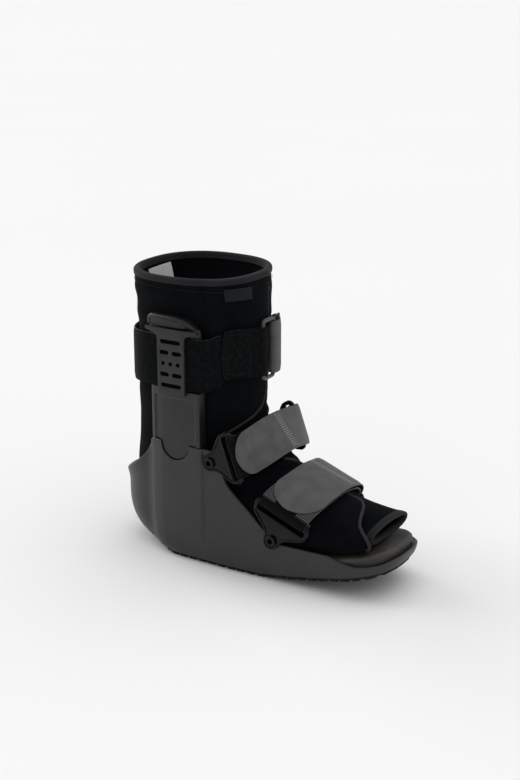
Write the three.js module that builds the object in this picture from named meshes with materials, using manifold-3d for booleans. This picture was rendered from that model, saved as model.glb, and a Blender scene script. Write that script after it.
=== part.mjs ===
// A short walking boot: a rigid rocker-soled shell with two uprights, a padded liner and three straps.
// Millimetres. X runs from the heel to the toe, Y to the wearer's left and Z up. "Right" is the -Y side.
import * as THREE from "three";
import { mergeVertices } from "three/addons/utils/BufferGeometryUtils.js";
import Module from "manifold-3d";

const wasm = await Module();
wasm.setup();

// Driving dimensions of the shell
const SHELL_LENGTH = 306;
const SHELL_ROOM = 7;
const HEEL_LENGTH = 46;
const TOE_LENGTH = 52;
const SHELL_WALL = 3;
const SHELL_FLOOR = 9;
const SHOULDER_HEIGHT = 118;
const HEEL_ROUNDING = 21;
const HEEL_ROUND_HEIGHT = 37;
const SIDE_ROUNDING = 4.5;
const SIDE_ROUND_HEIGHT = 12;
const HEEL_FLARE = 2;
const TOE_SPRING = 26;
const POCKET_RELIEF = 2;
const POCKET_RAMP = 3;
const POCKET_FOOT = 22;

// Driving dimensions of the outsole and the footbed
const OUTSOLE_THICKNESS = 3.5;
const OUTSOLE_INSET = 1.5;
const TREAD_PITCH = 11;
const TREAD_DEPTH = 1.3;
const FOOTBED_THICKNESS = 9;
const FOOTBED_CHAMFER = 2.5;
const FOOTBED_CLEARANCE = 2;

// Driving dimensions of the uprights and of the keepers that hold the calf strap to them
const UPRIGHT_CENTRE = 86;
const UPRIGHT_WIDTH = 59;
const UPRIGHT_DROP = 34;
const UPRIGHT_THICKNESS = 3;
const UPRIGHT_TONGUE = 26;
const TONGUE_WIDTH = 40;
const NOTCH_RADIUS = 16.5;
const PANEL_DROP = 8.4;
const PANEL_DEPTH = 1.2;
const PANEL_BORDER = 5;
const HEAD_HEIGHT = 17.5;
const HEAD_THICKNESS = 7.5;
const KEEPER_WIDTH = 30;
const KEEPER_THICKNESS = 2.5;
const KEEPER_FOOT = 2.6;
const KEEPER_LIP = 6.5;
const SLOT_LENGTH = 22.5;
const SLOT_WIDTH = 4;
const SLOT_ROW_PITCH = 10.5;

// Driving dimensions of the liner, its flaps and its bindings
const LEG_CENTRE = 81.8;
const LEG_DEPTH = 124.4;
const LEG_WIDTH = 104;
const LEG_POWER = 2.45;
const FOOT_TOP_POWER = 1.95;
const FOOT_SOLE_POWER = 2.8;
const LINER_HEIGHT = 276;
const LINER_THICKNESS = 6;
const TOE_WALL = 3;
const FLAP_THICKNESS = 3;
const FLAP_CLEARANCE = 1.35;
const BINDING_WIDTH = 6.5;
const BINDING_THICKNESS = 1.4;
const EDGE_ROLL = 1.5;
const TAPE_THICKNESS = 1.2;
const LABEL_THICKNESS = 0.6;
const LINER_SIDES = 24;

// Driving dimensions of the straps, the calf ring and the pivoting brackets
const STRAP_THICKNESS = 2.2;
const CALF_STRAP_WIDTH = 50;
const CALF_STRAP_DROP = 27.5;
const CALF_STRAP_LIFT = 10;
const CALF_STRAP_POWER = 2.6;
const CALF_TAB_WIDTH = 46;
const CALF_TAB_LIFT = 3;
const RING_WIRE = 3.8;
const INSTEP_STRAP_WIDTH = 40;
const TOE_STRAP_WIDTH = 51;
const BRACKET_THICKNESS = 3.4;
const BRACKET_REACH = 23.4;
const BRACKET_SLOT = 6.4;
const BRACKET_BAR = 4.4;
const BRACKET_BOSS = 8.5;
const RIVET_RADIUS = 5.2;
const RIVET_HOLE = 2.4;
const RIVET_HEAD = 1.8;
const ANKLE_PIVOT = { x: 127, z: 107.3 };
const TOE_PIVOT = { x: 193, z: 43.3 };
const ANKLE_STRAP_SLOPE = 20;
const ANKLE_STRAP_TWIST = 19.5;
const ANKLE_STRAP_TOP = 45.5;
const TOE_STRAP_SLOPE = 68.8;
const TOE_STRAP_TWIST = 0;
const TOE_STRAP_TOP = 55;
const STRAP_ARCH_POWER = 1.5;
const GAP = 0.35;

// Plan of the shell at its rim: distance from the heel and half-width, as shares of the length and the
// half-width
const PLAN = [
  { along: 0, width: 0.81 },
  { along: 0.15, width: 0.84 },
  { along: 0.2, width: 0.94 },
  { along: 0.24, width: 0.985 },
  { along: 0.3, width: 1 },
  { along: 0.45, width: 0.995 },
  { along: 0.58, width: 0.96 },
  { along: 0.75, width: 0.94 },
  { along: 0.85, width: 0.925 },
  { along: 1, width: 0.9 },
];

// Underside of the shell: distance from the heel, as a share of the length, and rise, as a share of the
// toe spring
const ROCKER = [
  { along: 0, rise: 0.3 },
  { along: 0.1, rise: 0.1 },
  { along: 0.21, rise: 0 },
  { along: 0.56, rise: 0 },
  { along: 0.65, rise: 0.13 },
  { along: 0.76, rise: 0.36 },
  { along: 0.88, rise: 0.66 },
  { along: 1, rise: 1 },
];

// Top edge of the shell behind the upright: distance and height, as shares of the upright's back edge and
// the shoulder
const HEEL_EDGE = [
  { along: 0, height: 0.575 },
  { along: 0.15, height: 0.605 },
  { along: 0.32, height: 0.655 },
  { along: 0.52, height: 0.72 },
  { along: 0.72, height: 0.8 },
  { along: 0.88, height: 0.89 },
  { along: 1, height: 1 },
];

// Top edge of the shell before the upright: distance, as a share of the way to the toe, and height, of the
// shoulder
const FRONT_EDGE = [
  { along: 0, height: 1 },
  { along: 0.045, height: 0.995 },
  { along: 0.078, height: 0.935 },
  { along: 0.11, height: 0.85 },
  { along: 0.142, height: 0.75 },
  { along: 0.195, height: 0.655 },
  { along: 0.253, height: 0.57 },
  { along: 0.31, height: 0.49 },
  { along: 0.353, height: 0.43 },
  { along: 0.42, height: 0.345 },
  { along: 0.5, height: 0.338 },
  { along: 0.69, height: 0.338 },
  { along: 0.76, height: 0.315 },
  { along: 0.85, height: 0.288 },
  { along: 0.93, height: 0.3 },
  { along: 1, height: 0.338 },
];

// Sections of the liner's leg, from the rim down: offsets of the front and back from the leg's own
// ellipse, as shares of the leg's depth, their heights as shares of the liner's height, and the half-width
// as a share of the leg's
const LEG_SECTIONS = [
  { front: -0.008, frontHeight: 1, back: 0, backHeight: 1, width: 1.165, power: 2.1 },
  { front: -0.004, frontHeight: 0.955, back: 0, backHeight: 0.95, width: 1.12, power: 2.15 },
  { front: 0, frontHeight: 0.9, back: 0, backHeight: 0.892, width: 1, power: 2.4 },
  { front: 0, frontHeight: 0.82, back: 0, backHeight: 0.8, width: 0.995, power: 2.45 },
  { front: -0.01, frontHeight: 0.66, back: 0, backHeight: 0.6, width: 0.99, power: 2.45 },
  { front: -0.02, frontHeight: 0.56, back: 0, backHeight: 0.49, width: 0.98, power: 2.4 },
  { front: -0.01, frontHeight: 0.52, back: -0.03, backHeight: 0.39, width: 0.96, power: 2.35 },
  { front: 0.025, frontHeight: 0.488, back: -0.07, backHeight: 0.27, width: 0.92, power: 2.3 },
  { front: 0.085, frontHeight: 0.45, back: -0.08, backHeight: 0.165, width: 0.88, power: 2.2 },
];

// Sections of the liner's foot, on to the toe: top and sole as shares of the shell's length, the top's
// height as a share of the liner's, the half-width and the shift to the left as shares of the leg's
// half-width, and the sole's lift off the footbed as a share of the binding's thickness
const FOOT_SECTIONS = [
  { top: 0.564, topHeight: 0.411, sole: 0.08, width: 0.86, shift: 0, lift: 0 },
  { top: 0.595, topHeight: 0.366, sole: 0.18, width: 0.85, shift: 0, lift: 0 },
  { top: 0.624, topHeight: 0.341, sole: 0.31, width: 0.85, shift: 0, lift: 0 },
  { top: 0.667, topHeight: 0.325, sole: 0.44, width: 0.85, shift: 0, lift: 0 },
  { top: 0.72, topHeight: 0.303, sole: 0.56, width: 0.84, shift: 0.01, lift: 0 },
  { top: 0.782, topHeight: 0.276, sole: 0.68, width: 0.81, shift: 0.04, lift: 0 },
  { top: 0.843, topHeight: 0.25, sole: 0.79, width: 0.75, shift: 0.1, lift: 0.6 },
  { top: 0.917, topHeight: 0.23, sole: 0.907, width: 0.69, shift: 0.17, lift: 1.6 },
];

// Lower edge of the leg flap: place round the leg in degrees from its front, and height as a share of the
// liner's
const LEG_FLAP_EDGE = [
  { turn: -8, height: 0.59 },
  { turn: -6, height: 0.565 },
  { turn: -1, height: 0.537 },
  { turn: 8, height: 0.521 },
  { turn: 18, height: 0.511 },
  { turn: 33, height: 0.492 },
  { turn: 48, height: 0.467 },
  { turn: 58, height: 0.45 },
];

// The foot flap in the liner's own sections: section number, how far round from the top it reaches in
// degrees at each end (negative is over the top to the left) and its lift off the liner, as a share of the
// flap's thickness
const FOOT_FLAP = [
  { section: 9.6, over: 14, under: 100, lift: 0 },
  { section: 10, over: 2, under: 106, lift: 0 },
  { section: 11, over: -8, under: 118, lift: 0 },
  { section: 13, over: -7, under: 130, lift: 0 },
  { section: 14, over: 0, under: 132, lift: 0.25 },
  { section: 14.5, over: 6, under: 133, lift: 1.7 },
  { section: 15, over: 18, under: 134, lift: 2.9 },
  { section: 15.42, over: 50, under: 134, lift: 2.9 },
  { section: 15.65, over: 72, under: 132, lift: 2.4 },
  { section: 15.88, over: 96, under: 127, lift: 1.6 },
];

// Places round the leg, in degrees from its front towards the right, where the calf strap's pieces begin
// and end
const CALF_STRAP_END = 42;
const CALF_TAB_START = 46;
const RING_NEAR_TURN = 3;
const RING_FAR_TURN = -7;
const CALF_RETURN_END = -52;
const LEG_FLAP_FRONT = -8;
const LEG_FLAP_BACK = 58;
const TAPE_TURNS = [-12, -15.5, -19];
const OUTER_LABEL_TURNS = [40, 33, 26, 19, 12];
const INNER_LABEL_TURNS = [170, 177.5, 185, 192.5, 200];

const up = new THREE.Vector3(0, 0, 1);
const toeward = new THREE.Vector3(1, 0, 0);
const radians = THREE.MathUtils.degToRad;
const clamp = THREE.MathUtils.clamp;
const smooth = THREE.MathUtils.smoothstep;

// A smooth curve through two columns of a table that never overshoots its rows
function curveOf(rows, from, to) {
  const xs = rows.map((row) => row[from]);
  const ys = rows.map((row) => row[to]);
  const last = xs.length - 1;
  const slopes = xs.slice(1).map((x, i) => (ys[i + 1] - ys[i]) / (x - xs[i]));
  const tangents = xs.map((x, i) => {
    if (i === 0) return slopes[0];
    if (i === last) return slopes[last - 1];
    const [before, after] = [slopes[i - 1], slopes[i]];
    return before * after <= 0 ? 0 : (2 * before * after) / (before + after);
  });
  return (x) => {
    const at = clamp(x, xs[0], xs[last]);
    const i = Math.min(Math.max(xs.findIndex((edge) => edge >= at) - 1, 0), last - 1);
    const width = xs[i + 1] - xs[i];
    const t = (at - xs[i]) / width;
    const rest = 1 - t;
    return (
      ys[i] * (1 + 2 * t) * rest * rest +
      tangents[i] * width * t * rest * rest +
      ys[i + 1] * t * t * (3 - 2 * t) +
      tangents[i + 1] * width * t * t * (t - 1)
    );
  };
}

// One closed surface over a row of rings that have the same number of points. Its ends are closed by a fan
// round their centre, by a ladder between mirrored points, or by a strip between a ring's first half and
// its second, run back.
function ringSolid(rings, cap = "fan") {
  const count = rings[0].length;
  const points = rings.flat();
  const faces = [];
  for (let r = 0; r + 1 < rings.length; r++) {
    for (let i = 0; i < count; i++) {
      const [a, b] = [r * count + i, r * count + ((i + 1) % count)];
      faces.push([a, b, b + count], [a, b + count, a + count]);
    }
  }
  const capRing = (start, flip) => {
    const add = (a, b, c) => faces.push(flip ? [a, c, b] : [a, b, c]);
    if (cap === "ladder") {
      for (let i = 0; 2 * i < count; i++) {
        const [near, next] = [start + i, start + i + 1];
        const [far, farNext] = [start + ((count - i) % count), start + count - i - 1];
        if (far !== near && far !== farNext) add(near, far, farNext);
        if (next !== farNext && next !== near) add(near, farNext, next);
      }
      return;
    }
    if (cap === "strip") {
      for (let i = 0; i + 1 < count / 2; i++) {
        add(start + i, start + count - 1 - i, start + count - 2 - i);
        add(start + i, start + count - 2 - i, start + i + 1);
      }
      return;
    }
    const ring = points.slice(start, start + count);
    const centre = ring.reduce((sum, p) => sum.add(p), new THREE.Vector3()).divideScalar(count);
    points.push(centre);
    for (let i = 0; i < count; i++) add(points.length - 1, start + ((i + 1) % count), start + i);
  };
  capRing(0, false);
  capRing((rings.length - 1) * count, true);
  return closedGeometry(points, faces);
}

// One closed surface over rings that join end to end, such as a binding round a whole rim
function loopSolid(rings) {
  const count = rings[0].length;
  const faces = [];
  rings.forEach((ring, r) => {
    const next = (r + 1) % rings.length;
    for (let i = 0; i < count; i++) {
      const j = (i + 1) % count;
      faces.push([r * count + i, r * count + j, next * count + j]);
      faces.push([r * count + i, next * count + j, next * count + i]);
    }
  });
  return closedGeometry(rings.flat(), faces);
}

function closedGeometry(points, faces) {
  const volume = faces.reduce((sum, [a, b, c]) => {
    const cross = new THREE.Vector3().crossVectors(points[b], points[c]);
    return sum + points[a].dot(cross);
  }, 0);
  const outward = volume < 0 ? faces.map(([a, b, c]) => [a, c, b]) : faces;
  const geometry = new THREE.BufferGeometry().setFromPoints(points);
  geometry.setIndex(outward.flat());
  geometry.computeVertexNormals();
  return geometry;
}

function manifoldOf(geometry) {
  const bare = geometry.clone();
  bare.deleteAttribute("normal");
  bare.deleteAttribute("uv");
  const merged = mergeVertices(bare, 1e-3);
  return new wasm.Manifold(
    new wasm.Mesh({
      numProp: 3,
      vertProperties: merged.attributes.position.array,
      triVerts: new Uint32Array(merged.index.array),
    }),
  );
}

function geometryOf(manifold) {
  const mesh = manifold.getMesh();
  const geometry = new THREE.BufferGeometry();
  geometry.setAttribute("position", new THREE.BufferAttribute(new Float32Array(mesh.vertProperties), 3));
  geometry.setIndex(new THREE.BufferAttribute(new Uint32Array(mesh.triVerts), 1));
  geometry.computeVertexNormals();
  return geometry;
}

// The shell: its plan, its edges and its rounding
const widthShare = curveOf(PLAN, "along", "width");
const rockerShare = curveOf(ROCKER, "along", "rise");
const heelEdge = curveOf(HEEL_EDGE, "along", "height");
const frontEdge = curveOf(FRONT_EDGE, "along", "height");
const uprightBack = UPRIGHT_CENTRE - UPRIGHT_WIDTH / 2;
const uprightFront = UPRIGHT_CENTRE + UPRIGHT_WIDTH / 2;

function capShare(distance, length, power) {
  return distance >= length ? 1 : (1 - ((length - distance) / length) ** power) ** (1 / power);
}

function shellHalfWidth(x) {
  const heel = capShare(clamp(x, 0, SHELL_LENGTH), HEEL_LENGTH, 2.1);
  const toe = capShare(clamp(SHELL_LENGTH - x, 0, SHELL_LENGTH), TOE_LENGTH, 2.6);
  return ((LEG_WIDTH + SHELL_ROOM) / 2) * widthShare(x / SHELL_LENGTH) * heel * toe;
}

const underside = (x) => OUTSOLE_THICKNESS + TOE_SPRING * rockerShare(x / SHELL_LENGTH);
const floorTop = (x) => underside(x) + SHELL_FLOOR;
const footbedTop = (x) => floorTop(x) + GAP + FOOTBED_THICKNESS;

// Height of the line where shell and upright part, with a round notch for the upright's tab
function partingHeight(x, clearance) {
  const radius = NOTCH_RADIUS - clearance;
  const inside = radius ** 2 - (x - UPRIGHT_CENTRE) ** 2;
  return SHOULDER_HEIGHT + clearance - (inside > 0 ? Math.sqrt(inside) + clearance : 0);
}

function shellEdge(x) {
  if (x < uprightBack) return SHOULDER_HEIGHT * heelEdge(x / uprightBack);
  if (x <= uprightFront) return partingHeight(x, 0);
  return SHOULDER_HEIGHT * frontEdge((x - uprightFront) / (SHELL_LENGTH - uprightFront));
}

// How far the pocket for the upright stands out of the shell's side
function pocketRelief(x, z) {
  const reach = UPRIGHT_WIDTH / 2 + POCKET_RAMP - Math.abs(x - UPRIGHT_CENTRE);
  return POCKET_RELIEF * smooth(reach, 0, POCKET_RAMP) * smooth(z, POCKET_FOOT, POCKET_FOOT * 1.8);
}

// How far the shell's wall is drawn in near its underside, and let out at the heel's rim
function wallInset(x, z) {
  const heel = 1 - smooth(x, HEEL_LENGTH * 0.4, HEEL_LENGTH * 1.8);
  const rounding = THREE.MathUtils.lerp(SIDE_ROUNDING, HEEL_ROUNDING, heel);
  const height = THREE.MathUtils.lerp(SIDE_ROUND_HEIGHT, HEEL_ROUND_HEIGHT, heel);
  const below = clamp(1 - (z - underside(x)) / height, 0, 1);
  const flare = HEEL_FLARE * heel * smooth(z, shellEdge(x) - 14, shellEdge(x));
  return rounding * (1 - Math.sqrt(1 - below * below)) - flare;
}

// Stations along one side, closer together round the heel, the notch and the toe
function sideStations() {
  const arc = (from, to, steps, place) =>
    Array.from({ length: steps + 1 }, (_, i) => place(from + ((to - from) * i) / steps));
  const heel = arc(0, 90, 6, (a) => HEEL_LENGTH * (1 - Math.cos(radians(a))));
  const notch = arc(180, 0, 6, (a) => UPRIGHT_CENTRE + NOTCH_RADIUS * Math.cos(radians(a)));
  const front = arc(uprightFront + POCKET_RAMP, SHELL_LENGTH - TOE_LENGTH, 11, (x) => x);
  const toe = arc(0, 90, 7, (a) => SHELL_LENGTH - TOE_LENGTH * (1 - Math.sin(radians(a))));
  const edges = [uprightBack - POCKET_RAMP, uprightBack, uprightFront];
  const beside = [UPRIGHT_CENTRE - NOTCH_RADIUS - GAP, UPRIGHT_CENTRE + NOTCH_RADIUS + GAP];
  const all = [...heel, ...edges, ...beside, ...notch, ...front, ...toe].sort((a, b) => a - b);
  return all.filter((x, i) => i === 0 || x - all[i - 1] > 0.2);
}

// A closed ring round the shell's plan, drawn in by an inset and lifted to a height, both functions of x
function planRing(stations, inset, height, relief = 0) {
  const side = stations.map((x) => {
    const step = 0.05;
    const [before, after] = [Math.max(x - step, 0), Math.min(x + step, SHELL_LENGTH)];
    const slope = (shellHalfWidth(after) - shellHalfWidth(before)) / (after - before);
    const length = Math.hypot(slope, 1);
    const end = x <= 0 || x >= SHELL_LENGTH;
    const normal = end ? [x <= 0 ? -1 : 1, 0] : [-slope / length, 1 / length];
    const out = relief * pocketRelief(x, height(x)) - inset(x, height(x));
    const y = end ? 0 : shellHalfWidth(x) + normal[1] * out;
    const along = x + normal[0] * out;
    return new THREE.Vector3(along, -Math.max(y, end ? 0 : 0.3), height(clamp(along, 0, SHELL_LENGTH)));
  });
  const mirrored = side.slice(1, -1).reverse().map((p) => new THREE.Vector3(p.x, -p.y, p.z));
  return [...side, ...mirrored];
}

function shellSolid() {
  const stations = sideStations();
  const between = (low, high, share) => (x) => low(x) + (high(x) - low(x)) * share;
  const roundTop = (x) => underside(x) + Math.min(HEEL_ROUND_HEIGHT, (shellEdge(x) - underside(x)) * 0.7);
  const levels = [0, 0.05, 0.19, 0.5, 1].map((share) => between(underside, roundTop, share));
  const walls = [0.5, 0.88].map((share) => between(roundTop, shellEdge, share));
  const outer = [...levels, ...walls, shellEdge].map((height) => planRing(stations, wallInset, height, 1));
  const lining = (x, z) => wallInset(x, z) + SHELL_WALL;
  const inner = [1, 0.6, 0.25, 0].map((share) => planRing(stations, lining, between(floorTop, shellEdge, share), 1));
  return ringSolid([...outer, ...inner], "ladder");
}

// The outsole hugs the shell's underside and is grooved across by its tread
function outsoleSolid() {
  const inset = (x, z) => wallInset(x, underside(x)) + OUTSOLE_INSET;
  const start = HEEL_LENGTH * 0.1;
  const bars = Math.floor((SHELL_LENGTH - 2 * start) / TREAD_PITCH);
  const stations = [0];
  for (let i = 0; i <= bars; i++) {
    const x = start + i * TREAD_PITCH;
    stations.push(x, x + TREAD_PITCH * 0.3, x + TREAD_PITCH * 0.36, x + TREAD_PITCH * 0.94);
  }
  const kept = [...stations.filter((x) => x < SHELL_LENGTH - 1), SHELL_LENGTH];
  const phase = (x) => (((x - start) % TREAD_PITCH) + TREAD_PITCH) % TREAD_PITCH;
  const groove = (x) => (phase(x) < TREAD_PITCH * 0.33 && x > start ? TREAD_DEPTH : 0);
  const ground = (x) => underside(x) - OUTSOLE_THICKNESS;
  const rings = [
    planRing(kept, inset, (x) => underside(x) - GAP),
    planRing(kept, inset, (x) => ground(x) + groove(x)),
  ];
  return ringSolid(rings, "ladder");
}

function footbedSolid() {
  const stations = sideStations().filter((x, i, all) => i === 0 || i === all.length - 1 || i % 2 === 0);
  const inset = (x) => wallInset(x, floorTop(x)) + SHELL_WALL + FOOTBED_CLEARANCE;
  const chamfered = (x) => inset(x) + FOOTBED_CHAMFER;
  const rings = [
    planRing(stations, inset, (x) => floorTop(x) + GAP),
    planRing(stations, inset, (x) => footbedTop(x) - FOOTBED_CHAMFER),
    planRing(stations, chamfered, footbedTop),
  ];
  return ringSolid(rings, "ladder");
}

// The leg's own section: half-width at x of a superellipse drawn out by an offset
const legBase = (x, offset) => {
  const along = clamp(Math.abs(x - LEG_CENTRE) / (LEG_DEPTH / 2 + offset), 0, 1);
  return (LEG_WIDTH / 2 + offset) * (1 - along ** LEG_POWER) ** (1 / LEG_POWER);
};
const uprightInner = (x) => legBase(x, GAP);
const channelFace = (x) => uprightInner(x) + UPRIGHT_THICKNESS;
const shellFace = (x) => shellHalfWidth(x) + POCKET_RELIEF;
// The uprights end below the liner's rim, and the strap's channel, its keeper and the panel hang from
// their heads
const uprightTop = LINER_HEIGHT - UPRIGHT_DROP;
const headBase = uprightTop - HEAD_HEIGHT;
const calfStrapHeight = headBase - CALF_STRAP_DROP;
const channelFoot = calfStrapHeight - CALF_STRAP_WIDTH / 2 - 0.6;
const panelTop = channelFoot - PANEL_DROP;

// An upright: rings across its width, each the outline of the upright cut at one x, from its foot up and
// round
function uprightSolid(side) {
  const half = UPRIGHT_WIDTH / 2 - GAP;
  const notch = Array.from({ length: 7 }, (_, i) => (NOTCH_RADIUS - GAP) * Math.cos(radians(180 - i * 30)));
  const tongue = TONGUE_WIDTH / 2;
  const across = [-half, -half + 1.5, -half + PANEL_BORDER - 1, -half + PANEL_BORDER + 0.5, -tongue, ...notch];
  across.push(tongue, half - PANEL_BORDER - 0.5, half - PANEL_BORDER + 1, half - 1.5, half);
  const stations = [...new Set(across.map((a) => Math.round(a * 1000) / 1000))].sort((a, b) => a - b);
  const rings = stations.map((a) => {
    const x = UPRIGHT_CENTRE + a;
    const foot = partingHeight(x, GAP);
    const edge = 1 - Math.abs(a) / half;
    const corner = a < 0 ? 6 : 19;
    const fromEdge = half - Math.abs(a);
    const round = fromEdge < corner ? corner - Math.sqrt(corner ** 2 - (corner - fromEdge) ** 2) : 0;
    const top = uprightTop - round * 0.75 - 3 * smooth(a, 0, half);
    const panel = PANEL_DEPTH * smooth(half - Math.abs(a), PANEL_BORDER - 1, PANEL_BORDER + 0.5);
    const tongueShare = Math.sqrt(clamp(1 - (a / tongue) ** 2, 0, 1));
    const tongueFoot = foot - 0.4 - tongueShare * (UPRIGHT_TONGUE - (SHOULDER_HEIGHT - foot) * 0.4);
    const bevel = 0.8 * (1 - smooth(edge, 0, 0.06));
    const face = shellFace(x) - bevel;
    const channel = channelFace(x);
    const inner = uprightInner(x);
    const tongueFace = shellHalfWidth(x) + POCKET_RELIEF - SHELL_WALL - GAP;
    const head = inner + HEAD_THICKNESS;
    const profile = [
      [face, foot],
      [face - panel, foot + 10 + (SHOULDER_HEIGHT - foot)],
      [face - panel, panelTop - 1],
      [face, panelTop + 1],
      [face, channelFoot - 1],
      [channel, channelFoot],
      [channel, headBase - 1],
      [head - 2, headBase],
      [head - 2, headBase + KEEPER_LIP - 1],
      [head - 2.6, headBase + KEEPER_LIP + 1],
      [head - bevel, Math.max(top - 5, headBase + KEEPER_LIP + 1.4)],
      [head - 0.6 - bevel, Math.max(top - 1.6, headBase + KEEPER_LIP + 1.8)],
      [head - 2.6 - bevel, Math.max(top, headBase + KEEPER_LIP + 2.2)],
      [inner + 1, Math.max(top, headBase + KEEPER_LIP + 2.2)],
      [inner, Math.max(top - 1.2, headBase + KEEPER_LIP + 1.2)],
      [inner, foot],
      [Math.min(inner, tongueFace - 1.6), tongueFoot],
      [tongueFace, tongueFoot],
      [tongueFace, foot],
    ];
    return profile.map(([out, z]) => new THREE.Vector3(x, side * out, z));
  });
  return ringSolid(rings, "fan");
}

// A slot or hole outline for a flat plate
function stadium(x, y, length, width) {
  const path = new THREE.Path();
  const half = (length - width) / 2;
  path.absarc(x + half, y, width / 2, -Math.PI / 2, Math.PI / 2, false);
  path.absarc(x - half, y, width / 2, Math.PI / 2, (Math.PI * 3) / 2, false);
  path.closePath();
  return path;
}

// A rectangular hole with cut corners for a flat plate
function roundedWindow(x, y, halfLength, halfWidth, corner) {
  const path = new THREE.Path();
  path.moveTo(x - halfLength + corner, y - halfWidth);
  path.lineTo(x + halfLength - corner, y - halfWidth);
  path.lineTo(x + halfLength, y - halfWidth + corner);
  path.lineTo(x + halfLength, y + halfWidth - corner);
  path.lineTo(x + halfLength - corner, y + halfWidth);
  path.lineTo(x - halfLength + corner, y + halfWidth);
  path.lineTo(x - halfLength, y + halfWidth - corner);
  path.lineTo(x - halfLength, y - halfWidth + corner);
  path.closePath();
  return path;
}

const keeperBack = channelFace(UPRIGHT_CENTRE) + STRAP_THICKNESS + 4.4 * GAP;
const keeperFoot = channelFoot - 1 - KEEPER_FOOT;

// A keeper: a slotted plate over the calf strap, with a wide lip at its top and a foot on the upright
function keeperSolid(side) {
  const half = KEEPER_WIDTH / 2;
  const wing = UPRIGHT_WIDTH / 2 - 1;
  const top = headBase + KEEPER_LIP - GAP;
  const outline = new THREE.Shape();
  outline.moveTo(-half, keeperFoot);
  outline.lineTo(half, keeperFoot);
  outline.lineTo(half, top - KEEPER_LIP * 1.6);
  outline.quadraticCurveTo(half + 1, top - KEEPER_LIP * 0.6, wing, top - 2);
  outline.lineTo(wing - 1, top);
  outline.lineTo(-wing + 1, top);
  outline.lineTo(-wing, top - 2);
  outline.quadraticCurveTo(-half - 1, top - KEEPER_LIP * 0.6, -half, top - KEEPER_LIP * 1.6);
  outline.closePath();
  const pair = (SLOT_LENGTH + 2) / 4 + 0.8;
  for (const row of [-2, -1, 0, 1, 2]) {
    const z = calfStrapHeight + row * SLOT_ROW_PITCH;
    if (Math.abs(row) === 2) outline.holes.push(stadium(0, z, SLOT_LENGTH, SLOT_WIDTH));
    if (Math.abs(row) === 1) {
      for (const x of [-pair, pair]) outline.holes.push(stadium(x, z, SLOT_LENGTH / 2 - 1, SLOT_WIDTH));
    }
    if (row === 0) for (const x of [-8, 0, 8]) outline.holes.push(stadium(x, z, SLOT_WIDTH + 0.1, SLOT_WIDTH));
  }
  const plate = new THREE.ExtrudeGeometry(outline, { depth: KEEPER_THICKNESS, bevelEnabled: false, curveSegments: 2 });
  const footReach = keeperBack + KEEPER_THICKNESS - shellFace(UPRIGHT_CENTRE) - GAP;
  const foot = new THREE.BoxGeometry(KEEPER_WIDTH, KEEPER_FOOT, footReach);
  foot.translate(0, keeperFoot + KEEPER_FOOT / 2, KEEPER_THICKNESS - footReach / 2);
  const whole = geometryOf(manifoldOf(plate).add(manifoldOf(foot)));
  whole.rotateX(Math.PI / 2);
  if (side > 0) whole.rotateZ(Math.PI);
  whole.translate(UPRIGHT_CENTRE, side * keeperBack, 0);
  return whole;
}

// The liner's sections from its rim to its toe, as centre, half the way from back to front, half-width and
// power
const legFront = LEG_CENTRE + LEG_DEPTH / 2;
const legBack = LEG_CENTRE - LEG_DEPTH / 2;
const linerSections = [
  ...LEG_SECTIONS.map((row) => ({
    front: [legFront + row.front * LEG_DEPTH, row.frontHeight * LINER_HEIGHT],
    back: [legBack + row.back * LEG_DEPTH, row.backHeight * LINER_HEIGHT],
    width: (row.width * LEG_WIDTH) / 2,
    shift: 0,
    power: row.power,
    solePower: row.power,
  })),
  ...FOOT_SECTIONS.map((row) => ({
    front: [row.top * SHELL_LENGTH, row.topHeight * LINER_HEIGHT],
    back: [row.sole * SHELL_LENGTH, footbedTop(row.sole * SHELL_LENGTH) + 3 * GAP + row.lift * BINDING_THICKNESS],
    width: (row.width * LEG_WIDTH) / 2,
    shift: (row.shift * LEG_WIDTH) / 2,
    power: FOOT_TOP_POWER,
    solePower: FOOT_SOLE_POWER,
  })),
];

function sectionAt(number) {
  const at = clamp(number, 0, linerSections.length - 1);
  const i = Math.min(Math.floor(at), linerSections.length - 2);
  const [a, b, t] = [linerSections[i], linerSections[i + 1], at - i];
  const mix = (p, q) => p + (q - p) * t;
  return {
    front: [mix(a.front[0], b.front[0]), mix(a.front[1], b.front[1])],
    back: [mix(a.back[0], b.back[0]), mix(a.back[1], b.back[1])],
    width: mix(a.width, b.width),
    shift: mix(a.shift, b.shift),
    power: mix(a.power, b.power),
    solePower: mix(a.solePower, b.solePower),
  };
}

const powerOf = (value, power) => Math.sign(value) * Math.abs(value) ** (2 / power);

// A point of the liner's surface: section number, turn in degrees from the front or top towards the right,
// and offset
function linerPoint(number, turn, offset) {
  const { front, back, width, shift, power: frontPower, solePower } = sectionAt(number);
  const half = [(front[0] - back[0]) / 2, (front[1] - back[1]) / 2];
  const length = Math.hypot(...half);
  const power = Math.cos(radians(turn)) > 0 ? frontPower : solePower;
  const along = powerOf(Math.cos(radians(turn)), power) * (1 + offset / length);
  const across = powerOf(Math.sin(radians(turn)), power) * (width + offset);
  const centre = [(front[0] + back[0]) / 2, (front[1] + back[1]) / 2];
  return new THREE.Vector3(centre[0] + half[0] * along, shift - across, centre[1] + half[1] * along);
}

// The padding thins out towards the toe
function wallAt(number) {
  const last = linerSections.length - 1;
  return LINER_THICKNESS + (TOE_WALL - LINER_THICKNESS) * smooth(number, LEG_SECTIONS.length + 2, last);
}

function linerSolid() {
  const count = LINER_SIDES;
  const ring = (number, offset) =>
    Array.from({ length: count }, (_, i) => linerPoint(number, (360 * i) / count, offset));
  const numbers = linerSections.map((_, i) => i);
  const outer = numbers.map((number) => ring(number, 0));
  const inner = numbers.map((number) => ring(number, -wallAt(number))).reverse();
  return loopSolid([...outer, ...inner]);
}

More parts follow.
